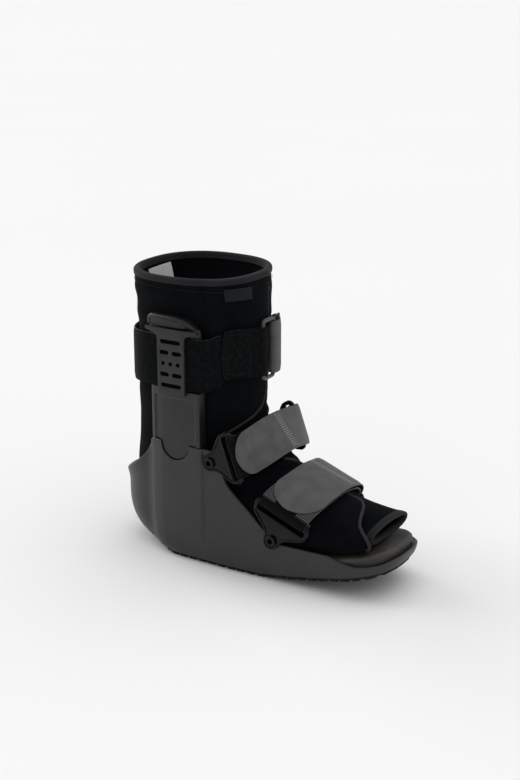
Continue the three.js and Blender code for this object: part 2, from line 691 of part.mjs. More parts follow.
// The leg flap laps over the liner's front from the right upright to just past the middle
const legFlapFoot = curveOf(LEG_FLAP_EDGE, "turn", "height");

function legFlapThickness(turn) {
  return 0.5 + (FLAP_THICKNESS - 0.5) * smooth(LEG_FLAP_BACK - turn, 0, 14);
}

// A point on the liner's leg at a turn and a height
function legPoint(turn, z, offset) {
  let [low, high] = [0, LEG_SECTIONS.length + 1];
  for (let i = 0; i < 24; i++) {
    const middle = (low + high) / 2;
    if (linerPoint(middle, turn, 0).z > z) low = middle;
    else high = middle;
  }
  return linerPoint((low + high) / 2, turn, offset);
}

const legFlapTop = LINER_HEIGHT - BINDING_WIDTH - GAP;

function legFlapSolid() {
  const turns = Array.from({ length: 12 }, (_, i) => LEG_FLAP_FRONT + ((LEG_FLAP_BACK - LEG_FLAP_FRONT) * i) / 11);
  const rings = turns.map((turn) => {
    const foot = legFlapFoot(turn) * LINER_HEIGHT;
    const levels = [0, 0.1, 0.25, 0.45, 0.62, 0.75, 0.87, 1].map((share) => foot + (legFlapTop - foot) * share);
    const thickness = legFlapThickness(turn);
    const outer = levels.map((z) => legPoint(turn, z, GAP + thickness));
    const inner = [...levels].reverse().map((z) => legPoint(turn, z, GAP));
    return [...outer, ...inner];
  });
  return ringSolid(rings, "strip");
}

// A rolled edge binding: a small six-sided tube through points, each with the way out of the cloth
function rollSolid(points, outs) {
  const rings = points.map((point, i) => {
    const after = points[Math.min(i + 1, points.length - 1)];
    const tangent = new THREE.Vector3().subVectors(after, points[Math.max(i - 1, 0)]).normalize();
    const aside = new THREE.Vector3().crossVectors(tangent, outs[i]).normalize();
    const out = new THREE.Vector3().crossVectors(aside, tangent);
    return [0, 60, 120, 180, 240, 300].map((a) => {
      const at = point.clone().addScaledVector(out, EDGE_ROLL * Math.cos(radians(a)));
      return at.addScaledVector(aside, EDGE_ROLL * Math.sin(radians(a)));
    });
  });
  return ringSolid(rings, "fan");
}

// The roll lies beside a flap's edge, whose places are functions of the offset off the liner
function edgeRoll(places) {
  const edge = places.map((place) => place(FLAP_THICKNESS / 2));
  const outs = places.map((place, i) => place(FLAP_THICKNESS / 2 + 1).sub(edge[i]).normalize());
  const asides = edge.map((_, i) => {
    const after = edge[Math.min(i + 1, edge.length - 1)];
    const tangent = new THREE.Vector3().subVectors(after, edge[Math.max(i - 1, 0)]);
    return new THREE.Vector3().crossVectors(tangent, outs[i]).normalize();
  });
  const middle = Math.floor(edge.length / 2);
  const centre = edge.reduce((sum, p) => sum.add(p), new THREE.Vector3()).divideScalar(edge.length);
  const inward = new THREE.Vector3().subVectors(centre, edge[middle]);
  const away = (EDGE_ROLL + GAP * 1.5) * (inward.dot(asides[middle]) > 0 ? -1 : 1);
  const points = edge.map((point, i) => point.clone().addScaledVector(asides[i], away));
  return rollSolid(points, outs);
}

function legFlapBinding() {
  const turns = turnsBetween(LEG_FLAP_BACK - 6, LEG_FLAP_FRONT, 5);
  const foot = legFlapFoot(LEG_FLAP_FRONT) * LINER_HEIGHT;
  const heights = [0.1, 0.2, 0.4, 0.6, 0.8, 1].map((share) => foot + (legFlapTop - 1 - foot) * share);
  return edgeRoll([
    ...turns.map((turn) => (offset) => legPoint(turn, legFlapFoot(turn) * LINER_HEIGHT, GAP + offset)),
    ...heights.map((z) => (offset) => legPoint(LEG_FLAP_FRONT, z, GAP + offset)),
  ]);
}

const footFlapRows = (column) => curveOf(FOOT_FLAP, "section", column);
const [footOver, footUnder, footLift] = ["over", "under", "lift"].map(footFlapRows);

function footFlapPoint(number, share, offset) {
  const turn = footOver(number) + (footUnder(number) - footOver(number)) * share;
  const open = FLAP_THICKNESS * footLift(number) * Math.sin(Math.PI * clamp(1 - share, 0, 1) * 0.62) ** 1.2;
  const lift = open + FLAP_CLEARANCE * 1.5 * smooth(turn, 70, 100);
  return linerPoint(number, turn, FLAP_CLEARANCE + lift + offset);
}

function footFlapSolid() {
  const numbers = FOOT_FLAP.map((row) => row.section);
  const shares = Array.from({ length: 10 }, (_, i) => i / 9);
  const rings = numbers.map((number) => [
    ...shares.map((share) => footFlapPoint(number, share, FLAP_THICKNESS)),
    ...[...shares].reverse().map((share) => footFlapPoint(number, share, 0)),
  ]);
  return ringSolid(rings, "strip");
}

function footFlapBinding() {
  const last = FOOT_FLAP.at(-1).section;
  const shares = [0.96, 0.84, 0.72, 0.6, 0.48, 0.36, 0.24, 0.12, 0];
  const numbers = [...FOOT_FLAP].reverse().map((row) => row.section);
  return edgeRoll([
    ...shares.map((share) => (offset) => footFlapPoint(last, share, offset)),
    ...numbers.slice(1).map((number) => (offset) => footFlapPoint(number, 0, offset)),
  ]);
}

// A binding folded over an open end of the liner, a U in section, round the whole opening. It reaches back
// along the liner by a number of sections.
function endBinding(number, reach, direction, extra) {
  const count = LINER_SIDES;
  const clear = GAP * 2.2;
  const wall = wallAt(number);
  const inward = wall + clear + BINDING_THICKNESS;
  const rings = Array.from({ length: count }, (_, i) => {
    const turn = (360 * i) / count;
    const outward = clear + BINDING_THICKNESS + extra(turn);
    const end = (offset, along) => linerPoint(number, turn, offset).addScaledVector(direction, along);
    const root = (offset) => linerPoint(number + reach, turn, offset);
    return [
      root(outward),
      end(outward, 0),
      end((outward - inward) / 2, clear + BINDING_THICKNESS * 1.5),
      end(-inward, 0),
      root(wall - wallAt(number + reach) - inward),
      root(-wallAt(number + reach) - clear),
      end(-wall - clear, clear),
      end(clear, clear),
      root(clear),
    ];
  });
  return loopSolid(rings);
}

// A strap: a ribbon of one thickness along a plane path, its width running across the path's plane
function ribbonSolid(path, acrossAt, halfWidths, thickness) {
  const rings = path.map((point, i) => {
    const across = acrossAt(point);
    const before = path[Math.max(i - 1, 0)];
    const after = path[Math.min(i + 1, path.length - 1)];
    const tangent = new THREE.Vector3().subVectors(after, before).normalize();
    const normal = new THREE.Vector3().crossVectors(tangent, across).normalize().multiplyScalar(thickness / 2);
    const side = across.clone().multiplyScalar(halfWidths[i]);
    return [
      point.clone().add(normal).add(side),
      point.clone().sub(normal).add(side),
      point.clone().sub(normal).sub(side),
      point.clone().add(normal).sub(side),
    ];
  });
  return ringSolid(rings, "fan");
}

// Half-widths along a path whose last stretch is rounded off
function roundedWidths(path, half, roundStart, roundEnd) {
  const lengths = [0];
  for (let i = 1; i < path.length; i++) lengths.push(lengths[i - 1] + path[i].distanceTo(path[i - 1]));
  const total = lengths[lengths.length - 1];
  const narrowed = (distance, radius) => {
    if (distance >= radius) return 1;
    return Math.sqrt(Math.max(1 - ((radius - distance) / radius) ** 2, 0.02));
  };
  return lengths.map((s) => {
    const start = roundStart ? narrowed(s, roundStart) : 1;
    const end = roundEnd ? narrowed(total - s, roundEnd) : 1;
    return half * Math.min(start, end);
  });
}

// A point of the calf strap's path round the leg at a turn, drawn out by an offset
function calfPoint(turn, offset, lift = 0) {
  const front = Math.cos(radians(turn)) > 0;
  const under = front ? FLAP_THICKNESS + 2 * GAP : 2 * GAP;
  const depth = LEG_DEPTH / 2 + under + STRAP_THICKNESS / 2 + offset;
  const width = channelFace(UPRIGHT_CENTRE) + 2.8 * GAP + STRAP_THICKNESS / 2 + offset;
  const x = LEG_CENTRE + depth * powerOf(Math.cos(radians(turn)), CALF_STRAP_POWER);
  const y = -width * powerOf(Math.sin(radians(turn)), CALF_STRAP_POWER);
  const rise = CALF_STRAP_LIFT * smooth(x, uprightFront, LEG_CENTRE + LEG_DEPTH / 2);
  const drop = CALF_STRAP_LIFT * 0.25 * smooth(uprightBack - x, 0, uprightBack - LEG_CENTRE + LEG_DEPTH / 2);
  return new THREE.Vector3(x, y, calfStrapHeight + rise - drop + lift);
}

function turnsBetween(from, to, step) {
  const steps = Math.max(1, Math.round(Math.abs(to - from) / step));
  return Array.from({ length: steps + 1 }, (_, i) => from + ((to - from) * i) / steps);
}

// Points of a half turn round a bar, from one side of the strap's path to the other
function wrapPoints(centre, outward, forward, radius) {
  return [60, 30, 0, -30, -60].map((a) => {
    const point = centre.clone().addScaledVector(outward, radius * Math.sin(radians(a)));
    return point.addScaledVector(forward, radius * Math.cos(radians(a)));
  });
}

const wrapRadius = RING_WIRE / 2 + GAP + STRAP_THICKNESS / 2 + 0.3;

// The calf strap runs from its right end round the back, through the ring and back over itself
function calfStrapSolid() {
  const inner = turnsBetween(CALF_STRAP_END, 360 + RING_FAR_TURN - 3, 7).map((turn) => calfPoint(turn, 0));
  const bar = ringBar(RING_FAR_TURN);
  const wrap = wrapPoints(bar.centre, bar.outward.clone().negate(), bar.forward, wrapRadius);
  const near = STRAP_THICKNESS * 1.25;
  const outer = turnsBetween(360 + RING_FAR_TURN - 3, 360 + CALF_RETURN_END, 5).map((turn) =>
    calfPoint(turn, near + (wrapRadius * 2 - near) * smooth(turn, 335, 350)),
  );
  const path = [...inner, ...wrap, ...outer];
  const widths = roundedWidths(path, CALF_STRAP_WIDTH / 2, 7, 12);
  return ribbonSolid(path, () => new THREE.Vector3(0, 0, 1), widths, STRAP_THICKNESS);
}

// The centre of one of the ring's long bars, with the directions out of the leg and away from the strap
function ringBar(turn) {
  const here = calfPoint(turn, wrapRadius);
  const tangent = calfPoint(turn + 1, wrapRadius).sub(calfPoint(turn - 1, wrapRadius)).normalize();
  const outward = new THREE.Vector3().crossVectors(tangent, new THREE.Vector3(0, 0, 1)).normalize();
  if (outward.x < 0) outward.negate();
  return { centre: here, outward, forward: tangent };
}

function ringTabSolid() {
  const bar = ringBar(RING_NEAR_TURN);
  const near = STRAP_THICKNESS * 1.25;
  const offsetAt = (turn) => near + (wrapRadius * 2 - near) * (1 - smooth(turn, RING_NEAR_TURN, RING_NEAR_TURN + 16));
  const liftAt = (turn) => CALF_TAB_LIFT * smooth(turn, RING_NEAR_TURN + 4, CALF_STRAP_END);
  const outer = turnsBetween(CALF_TAB_START, RING_NEAR_TURN + 3, 4).map((turn) =>
    calfPoint(turn, offsetAt(turn), liftAt(turn)),
  );
  const wrap = wrapPoints(bar.centre, bar.outward, bar.forward.clone().negate(), wrapRadius);
  const inner = turnsBetween(RING_NEAR_TURN + 3, CALF_STRAP_END - 3, 4).map((turn) =>
    calfPoint(turn, 0, liftAt(turn)),
  );
  const path = [...outer, ...wrap, ...inner];
  const widths = path.map(() => CALF_TAB_WIDTH / 2);
  return ribbonSolid(path, () => new THREE.Vector3(0, 0, 1), widths, STRAP_THICKNESS);
}

// The ring is a rounded rectangle of round wire that stands up and down at the front of the leg
function calfRingSolid() {
  const near = ringBar(RING_NEAR_TURN).centre;
  const far = ringBar(RING_FAR_TURN).centre;
  const middle = new THREE.Vector3().addVectors(near, far).divideScalar(2);
  const across = new THREE.Vector3().subVectors(far, near).normalize();
  const out = new THREE.Vector3().crossVectors(across, up).normalize();
  const half = [near.distanceTo(far) / 2, CALF_STRAP_WIDTH / 2 + RING_WIRE / 2 + 1];
  const corner = RING_WIRE;
  const rings = [];
  for (let i = 0; i < 16; i++) {
    const turn = Math.floor(i / 4) * 90 + (i % 4) * 30;
    const [c, n] = [Math.cos(radians(turn)), Math.sin(radians(turn))];
    const quarter = Math.floor(i / 4);
    const [signX, signZ] = [[1, 1], [-1, 1], [-1, -1], [1, -1]][quarter];
    const at = middle.clone().addScaledVector(across, signX * (half[0] - corner) + corner * c);
    at.addScaledVector(up, signZ * (half[1] - corner) + corner * n);
    const outward = across.clone().multiplyScalar(c).addScaledVector(up, n);
    rings.push(
      Array.from({ length: 6 }, (_, k) => {
        const [a, b] = [Math.cos(radians(60 * k)), Math.sin(radians(60 * k))].map((v) => (v * RING_WIRE) / 2);
        return at.clone().addScaledVector(outward, a).addScaledVector(out, b);
      }),
    );
  }
  return loopSolid(rings);
}

// The two foot straps and their brackets share a frame: a pivot, the direction to the slot and the slot's
// own direction
const sloped = (slope) => new THREE.Vector3(Math.cos(radians(slope)), 0, Math.sin(radians(slope)));

function strapFrame(pivot, slope, twist, slotHalf, top) {
  const plate = shellHalfWidth(pivot.x) + pocketRelief(pivot.x - BRACKET_BOSS, pivot.z) + GAP + BRACKET_THICKNESS / 2;
  return { pivot, reach: sloped(slope), along: sloped(slope - 90), slope, twist, slotHalf, plate, top };
}

const ankleFrame = strapFrame(
  ANKLE_PIVOT,
  ANKLE_STRAP_SLOPE,
  ANKLE_STRAP_TWIST,
  INSTEP_STRAP_WIDTH / 2,
  ANKLE_STRAP_TOP,
);
const toeFrame = strapFrame(TOE_PIVOT, TOE_STRAP_SLOPE, TOE_STRAP_TWIST, TOE_STRAP_WIDTH / 2, TOE_STRAP_TOP);

// A point of a strap's path: its distance out from the middle, and its reach from the pivot
function framePoint(frame, out, reach) {
  const turned = frame.twist * Math.max(1 - (out / frame.plate / 0.9) ** 2, 0);
  const point = new THREE.Vector3(frame.pivot.x, out, frame.pivot.z);
  return point.addScaledVector(sloped(frame.slope + turned * 0.35), reach);
}

// The direction across a strap at a point of its path: it turns to lie on the instep towards the middle
function acrossStrap(frame, point) {
  const turned = frame.twist * Math.max(1 - (point.y / frame.plate / 0.9) ** 2, 0);
  return sloped(frame.slope + turned - 90);
}

// A bracket: a flat triangle round a slot for the strap, narrowing to a round boss at its rivet
function bracketSolid(frame, side) {
  const half = frame.slotHalf + 1;
  const outerHalf = half + BRACKET_BAR;
  const low = BRACKET_REACH - BRACKET_SLOT / 2;
  const high = BRACKET_REACH + BRACKET_SLOT / 2;
  const top = high + BRACKET_BAR;
  const corner = BRACKET_BAR + 1.5;
  const outline = new THREE.Shape();
  outline.absarc(0, 0, BRACKET_BOSS, Math.PI * 1.02, Math.PI * 1.98, false);
  outline.bezierCurveTo(BRACKET_BOSS + 1, 9, outerHalf - corner, low - 9, outerHalf - 1.5, low - 2);
  outline.absarc(outerHalf - corner, top - corner, corner, -0.2, Math.PI / 2, false);
  outline.absarc(-outerHalf + corner, top - corner, corner, Math.PI / 2, Math.PI + 0.2, false);
  outline.lineTo(-outerHalf + 1.5, low - 2);
  outline.bezierCurveTo(-outerHalf + corner, low - 9, -BRACKET_BOSS - 1, 9, -BRACKET_BOSS, 0);
  outline.holes.push(roundedWindow(0, BRACKET_REACH, half, BRACKET_SLOT / 2, 1));
  outline.holes.push(stadium(0, 0, RIVET_RADIUS * 1.1 + GAP * 2, RIVET_RADIUS * 1.1 + GAP * 2 - 0.01));
  const options = { depth: BRACKET_THICKNESS, bevelEnabled: false, curveSegments: 3 };
  const plate = new THREE.ExtrudeGeometry(outline, options);
  plate.translate(0, 0, -BRACKET_THICKNESS / 2);
  const out = new THREE.Vector3().crossVectors(frame.along, frame.reach);
  plate.applyMatrix4(new THREE.Matrix4().makeBasis(frame.along, frame.reach, out));
  plate.translate(frame.pivot.x, side * frame.plate, frame.pivot.z);
  return plate;
}

// A tubular rivet: a shank through the bracket and a domed head with a hollow in it
function rivetSolid(frame, side) {
  const shank = (RIVET_RADIUS * 1.1) / 2;
  const depth = BRACKET_THICKNESS + GAP;
  const profile = [
    [0, GAP],
    [shank, GAP],
    [shank, depth + GAP],
    [RIVET_RADIUS, depth + GAP],
    [RIVET_RADIUS * 0.85, depth + GAP + RIVET_HEAD],
    [RIVET_HOLE + 0.3, depth + GAP + RIVET_HEAD],
    [RIVET_HOLE * 0.8, depth * 0.5],
    [0, depth * 0.5],
  ];
  const rivet = new THREE.LatheGeometry(profile.map(([r, y]) => new THREE.Vector2(r, y)), 10);
  if (side < 0) rivet.rotateX(Math.PI);
  rivet.translate(frame.pivot.x, side * shellHalfWidth(frame.pivot.x), frame.pivot.z);
  return rivet;
}

// Half an arch of a strap over the foot, as turns from 0 at its start to 180 at its end
function archPoints(frame, start, end, top, from, to, steps) {
  const middle = (start + end) / 2;
  const half = (end - start) / 2;
  const base = BRACKET_REACH + BRACKET_SLOT / 2 + BRACKET_BAR * 1.2;
  return Array.from({ length: steps + 1 }, (_, i) => {
    const turn = radians(from + ((to - from) * i) / steps);
    const out = middle - half * powerOf(Math.cos(turn), STRAP_ARCH_POWER);
    const reach = base + (top - base) * powerOf(Math.sin(turn), STRAP_ARCH_POWER);
    return framePoint(frame, out, reach);
  });
}

// A foot strap: looped round the right bracket's bar, over the foot, through the left bracket and back
// over itself
function footStrapSolid(frame) {
  const bar = BRACKET_REACH + BRACKET_SLOT / 2 + BRACKET_BAR / 2;
  const radius = BRACKET_BAR / 2 + GAP + STRAP_THICKNESS / 2 + 0.35;
  const layer = STRAP_THICKNESS * 1.2;
  const right = -frame.plate;
  const left = frame.plate;
  const tail = [10, 5, 0].map((d) => framePoint(frame, right + radius, bar + d));
  const turnUnder = (centre, from, sign) =>
    [30, 60, 90, 120, 150].map((a) => {
      const out = centre + from * radius * Math.cos(radians(a));
      return framePoint(frame, out, bar - sign * radius * Math.sin(radians(a)));
    });
  const base = archPoints(frame, right - radius, left - radius, frame.top, 0, 180, 18);
  const over = archPoints(frame, right - radius - layer, left + radius, frame.top + layer, 180, 17, 18);
  const path = [...tail, ...turnUnder(right, 1, 1), ...base, ...turnUnder(left, -1, 1), ...over];
  const widths = roundedWidths(path, frame.slotHalf, 0, frame.slotHalf * 0.85);
  return ribbonSolid(path, (point) => acrossStrap(frame, point), widths, STRAP_THICKNESS);
}

// A strip on the leg's surface between two turns and two heights
function legStrip(turns, heights, offset, thickness) {
  const rings = turns.map((turn) => [
    ...heights.map((z) => legPoint(turn, z, offset + thickness)),
    ...[...heights].reverse().map((z) => legPoint(turn, z, offset)),
  ]);
  return ringSolid(rings, "strip");
}

// Finishes
const finish = (color, roughness) => new THREE.MeshStandardMaterial({ color, roughness, metalness: 0 });
const shellPlastic = finish(0x2e2e30, 0.55);
const rubber = finish(0x1b1b1c, 0.8);
const foam = finish(0x2c2622, 0.75);
const linerCloth = finish(0x0d0d0f, 0.95);
const bindingTape = finish(0x2a2a2d, 0.8);
const looseLoop = finish(0x121213, 1);
const strapGrey = finish(0x48484b, 0.6);
const blackPlastic = finish(0x1f1f21, 0.45);
const whiteSatin = finish(0xd9d6d2, 0.5);

const root = new THREE.Group();
function add(name, geometry, material) {
  const mesh = new THREE.Mesh(geometry, material);
  mesh.name = name;
  root.add(mesh);
}

add("shell", shellSolid(), shellPlastic);
add("outsole", outsoleSolid(), rubber);
add("footbed", footbedSolid(), foam);
add("liner", linerSolid(), linerCloth);
add("leg_flap", legFlapSolid(), linerCloth);
add("foot_flap", footFlapSolid(), linerCloth);
const flapExtra = (turn) => {
  const signed = turn > 180 ? turn - 360 : turn;
  const fade = 1 - smooth(signed, LEG_FLAP_BACK - 12, LEG_FLAP_BACK + 2);
  const inside = smooth(signed, LEG_FLAP_FRONT - 12, LEG_FLAP_FRONT) * fade;
  return FLAP_THICKNESS * inside;
};
const topReach = BINDING_WIDTH / (linerPoint(0, 90, 0).z - linerPoint(1, 90, 0).z);
add("top_binding", endBinding(0, topReach, up, flapExtra), bindingTape);
const toeReach = BINDING_WIDTH / (FOOT_SECTIONS.at(-2).top - FOOT_SECTIONS.at(-1).top) / SHELL_LENGTH;
add("toe_binding", endBinding(linerSections.length - 1, toeReach, toeward, () => 0), bindingTape);
for (const [name, side] of [["right", -1], ["left", 1]]) {
  add("upright_" + name, uprightSolid(side), shellPlastic);
  add("strap_keeper_" + name, keeperSolid(side), shellPlastic);
  add("ankle_bracket_" + name, bracketSolid(ankleFrame, side), blackPlastic);
  add("toe_bracket_" + name, bracketSolid(toeFrame, side), blackPlastic);
  add("ankle_rivet_" + name, rivetSolid(ankleFrame, side), blackPlastic);
  add("toe_rivet_" + name, rivetSolid(toeFrame, side), blackPlastic);
}
add("leg_flap_binding", legFlapBinding(), bindingTape);
add("foot_flap_binding", footFlapBinding(), bindingTape);
const tapeHeights = [0.635, 0.74, 0.85, 0.945].map((share) => share * LINER_HEIGHT);
add("front_closure_tape", legStrip(TAPE_TURNS, tapeHeights, GAP, TAPE_THICKNESS), bindingTape);
const outerHeights = [legFlapTop - 13, legFlapTop - 6, legFlapTop - 1.5];
const overFlap = FLAP_THICKNESS + 3 * GAP;
add("outer_label", legStrip(OUTER_LABEL_TURNS, outerHeights, overFlap, LABEL_THICKNESS), bindingTape);
const innerHeights = [legFlapTop - 17, legFlapTop - 8, legFlapTop - 1];
const underLiner = -LINER_THICKNESS - 2 * GAP - LABEL_THICKNESS;
add("inner_label", legStrip(INNER_LABEL_TURNS, innerHeights, underLiner, LABEL_THICKNESS), whiteSatin);
add("calf_strap", calfStrapSolid(), looseLoop);
add("calf_ring_tab", ringTabSolid(), looseLoop);
add("calf_ring", calfRingSolid(), blackPlastic);
add("instep_strap", footStrapSolid(ankleFrame), strapGrey);
add("toe_strap", footStrapSolid(toeFrame), strapGrey);

root.updateMatrixWorld(true);
const box = new THREE.Box3().setFromObject(root);
root.position.set(-(box.min.x + box.max.x) / 2, -(box.min.y + box.max.y) / 2, -box.min.z);

export default root;
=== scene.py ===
import math

import bmesh
import bpy
import numpy as np
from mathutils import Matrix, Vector, noise


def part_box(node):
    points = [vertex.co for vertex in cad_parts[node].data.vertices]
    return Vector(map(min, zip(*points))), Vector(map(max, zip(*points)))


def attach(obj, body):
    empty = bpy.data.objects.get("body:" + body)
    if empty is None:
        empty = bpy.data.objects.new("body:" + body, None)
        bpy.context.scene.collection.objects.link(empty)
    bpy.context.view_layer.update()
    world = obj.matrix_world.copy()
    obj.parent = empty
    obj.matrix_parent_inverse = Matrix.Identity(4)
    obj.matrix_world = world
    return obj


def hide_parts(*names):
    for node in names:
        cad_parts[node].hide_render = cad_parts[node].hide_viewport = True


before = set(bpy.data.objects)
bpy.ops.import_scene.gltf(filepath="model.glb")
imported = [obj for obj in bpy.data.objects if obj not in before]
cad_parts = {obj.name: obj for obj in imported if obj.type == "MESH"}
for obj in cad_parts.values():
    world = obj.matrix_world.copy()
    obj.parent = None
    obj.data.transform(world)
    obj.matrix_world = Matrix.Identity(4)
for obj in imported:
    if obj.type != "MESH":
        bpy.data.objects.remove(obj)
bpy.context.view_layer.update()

# Sizes in millimetres, in the boot's own frame: X from the heel to the toe, Y to the wearer's left, Z up
SHELL_LENGTH = 306
SHELL_WIDTH = 111
HEEL_LENGTH = 46
TOE_LENGTH = 52
SHELL_WALL = 3
SHELL_FLOOR = 9
SHOULDER_HEIGHT = 118
HEEL_ROUNDING = 21
HEEL_ROUND_HEIGHT = 37
SIDE_ROUNDING = 4.5
SIDE_ROUND_HEIGHT = 12
HEEL_FLARE = 2
TOE_SPRING = 26
POCKET_RELIEF = 2
POCKET_RAMP = 3
POCKET_FOOT = 22
OUTSOLE_THICKNESS = 3.5
OUTSOLE_INSET = 1.5
TREAD_PITCH = 11
TREAD_DEPTH = 1.3
FOOTBED_THICKNESS = 9
FOOTBED_CHAMFER = 2.5
FOOTBED_CLEARANCE = 2
UPRIGHT_CENTRE = 86
UPRIGHT_WIDTH = 59
UPRIGHT_TOP = 242
UPRIGHT_THICKNESS = 3
NOTCH_RADIUS = 16.5
PANEL_TOP = 163
PANEL_DEPTH = 1.2
PANEL_BORDER = 5
HEAD_BASE = 224.5
HEAD_THICKNESS = 8.2
HEAD_RECESS = 1.3
HEAD_FRONT_CORNER = 20
HEAD_BACK_CORNER = 7
KEEPER_WIDTH = 30
KEEPER_THICKNESS = 2.5
KEEPER_FOOT = 2.6
KEEPER_LIP = 6.5
SLOT_LENGTH = 22.5
SLOT_WIDTH = 4
SLOT_ROW_PITCH = 10.5
LEG_CENTRE = 81.8
LEG_DEPTH = 124.4
LEG_WIDTH = 104
LEG_POWER = 2.45
FOOT_TOP_POWER = 1.95
FOOT_SOLE_POWER = 2.8
LINER_HEIGHT = 276
LINER_THICKNESS = 6
RIM_WALL = 4
TOE_WALL = 3
FLAP_THICKNESS = 3
FLAP_CLEARANCE = 1.35
BINDING_WIDTH = 6.5
BINDING_THICKNESS = 1.4
RIM_TAPE_WIDTH = 4
TOE_TAPE_WIDTH = 4.5
EDGE_ROLL = 1.5
TAPE_THICKNESS = 1.2
LABEL_THICKNESS = 0.6
STRAP_THICKNESS = 2.2
STRAP_WAVE = 0.25
CALF_STRAP_WIDTH = 50
CALF_STRAP_HEIGHT = 197
CALF_STRAP_LIFT = 10
CALF_STRAP_POWER = 2.6
CALF_TAB_WIDTH = 46
CALF_TAB_LIFT = 3
RING_WIRE = 3.8
INSTEP_STRAP_WIDTH = 40
TOE_STRAP_WIDTH = 51
BRACKET_THICKNESS = 3.4
BRACKET_REACH = 23.4
BRACKET_SLOT = 6.4
BRACKET_BAR = 4.4
BRACKET_BOSS = 8.5
RIVET_RADIUS = 5.2
RIVET_HOLE = 2.4
RIVET_HEAD = 1.8
STRAP_ARCH_POWER = 1.5
GAP = 0.35

# How soft edges and ends are finished, in millimetres
FLAP_EDGE_ROUNDING = 1.4
FOOT_FLAP_BREADTH = 60
FOOT_FLAP_FORWARD = 5.5
FOOT_SECTION_PITCH = 22
BINDING_ROLL = 3.2
CALF_STRAP_ROUNDING = (7, 12)
CALF_TAB_ROUNDING = 2.5
INSTEP_STRAP_ROUNDING = 15
TOE_STRAP_ROUNDING = 23
STITCH_MARGIN = 4
DOTTED_STRETCH = (22, 56)

# Places round the leg, in degrees from its front towards the right
CALF_STRAP_END = 42
CALF_TAB_START = 46
RING_NEAR_TURN = 3
RING_FAR_TURN = -7
CALF_RETURN_END = -52
LEG_FLAP_FRONT = -8
LEG_FLAP_BACK = 58

# The camera and its target in metres, at the photograph's place, to the right of the boot's front
CAMERA_PLACE = Vector((0.6727, -1.0588, 0.5649))
CAMERA_TARGET = Vector((-0.007, 0, 0.1658))
CAMERA_LENS = 64.6
CAMERA_SENSOR = 36

# Lights: name, way to the light, spread in degrees and strength
SUNS = [
    ("overhead", (-0.05, 0.35, 1), 60, 0.72),
    ("left", (-1, 0, 0.5), 50, 1.4),
    ("front_right", (0.6, -0.12, 1), 50, 0.36),
]
WORLD_LIGHT = 0.52
# Half of the floor's side in metres
FLOOR_HALF = 60

HEEL_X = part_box("shell")[0].x * 1000 + HEEL_FLARE

# Plan of the shell at its rim: share of the length and of the half-width
PLAN = [
    (0, 0.81), (0.15, 0.84), (0.2, 0.94), (0.24, 0.985), (0.3, 1), (0.45, 0.995),
    (0.58, 0.96), (0.75, 0.94), (0.85, 0.925), (1, 0.9),
]
# Underside: share of the length and of the toe spring
ROCKER = [
    (0, 0.3), (0.1, 0.1), (0.21, 0), (0.56, 0), (0.65, 0.13), (0.76, 0.36), (0.88, 0.66), (1, 1),
]
# Rim behind the upright and before it: share of the way and of the shoulder's height
HEEL_EDGE = [
    (0, 0.575), (0.15, 0.605), (0.32, 0.655), (0.52, 0.72), (0.72, 0.8), (0.88, 0.89), (1, 1),
]
FRONT_EDGE = [
    (0, 1), (0.045, 0.995), (0.078, 0.935), (0.11, 0.85), (0.142, 0.75), (0.195, 0.655),
    (0.253, 0.57), (0.31, 0.49), (0.353, 0.43), (0.42, 0.345), (0.5, 0.338), (0.69, 0.338),
    (0.76, 0.315), (0.85, 0.288), (0.93, 0.3), (1, 0.338),
]
# Leg of the liner from its rim down: front and back offsets as shares of the leg's depth, each with its
# height as a share of the liner's, then the half-width as a share of the leg's and the section's power
LEG_SECTIONS = [
    (-0.008, 1, 0, 1, 1.165, 2.4),
    (-0.004, 0.955, 0, 0.95, 1.12, 2.4),
    (0, 0.9, 0, 0.892, 1, 2.4),
    (0, 0.82, 0, 0.8, 0.995, 2.45),
    (-0.01, 0.66, 0, 0.6, 0.99, 2.45),
    (-0.02, 0.56, 0, 0.49, 0.98, 2.4),
    (-0.01, 0.52, -0.03, 0.39, 0.96, 2.35),
    (0.025, 0.488, -0.07, 0.27, 0.92, 2.3),
    (0.085, 0.45, -0.08, 0.165, 0.88, 2.2),
]
# Foot of the liner on to the toe: place of the top along the shell and its height, place of the sole,
# half-width, shift to the left and lift off the footbed in binding thicknesses
FOOT_SECTIONS = [
    (0.564, 0.411, 0.08, 0.86, 0, 0),
    (0.595, 0.366, 0.18, 0.85, 0, 0),
    (0.624, 0.341, 0.31, 0.85, 0, 0),
    (0.667, 0.325, 0.44, 0.85, 0, 0),
    (0.72, 0.303, 0.56, 0.84, 0.01, 0),
    (0.782, 0.276, 0.68, 0.81, 0.04, 0),
    (0.843, 0.25, 0.79, 0.75, 0.1, 0.6),
    (0.917, 0.23, 0.907, 0.69, 0.17, 1.6),
]
# Lower edge of the leg flap: degrees from the leg's front and share of the liner's height
LEG_FLAP_EDGE = [
    (-8, 0.59), (-6, 0.565), (-1, 0.537), (8, 0.521), (18, 0.511), (33, 0.492), (48, 0.467), (58, 0.45),
]
# The foot flap: section number, degrees it reaches over and under, lift in flap thicknesses
FOOT_FLAP = [
    (9.6, 14, 100, 0), (10, 2, 106, 0), (11, -8, 118, 0), (13, -7, 130, 0),
    (14, 0, 132, 0.25), (14.5, 6, 133, 1.7), (15, 18, 134, 2.9), (15.42, 50, 134, 2.9),
    (15.65, 72, 132, 2.4), (15.88, 96, 127, 1.6),
]


# Small maths
def clamp(value, low, high):
    return min(max(value, low), high)


def ease(value, low, high):
    t = clamp((value - low) / (high - low), 0, 1)
    return t * t * (3 - 2 * t)


def turned(degrees):
    return math.cos(math.radians(degrees)), math.sin(math.radians(degrees))


def power_of(value, power):
    return math.copysign(abs(value) ** (2 / power), value)


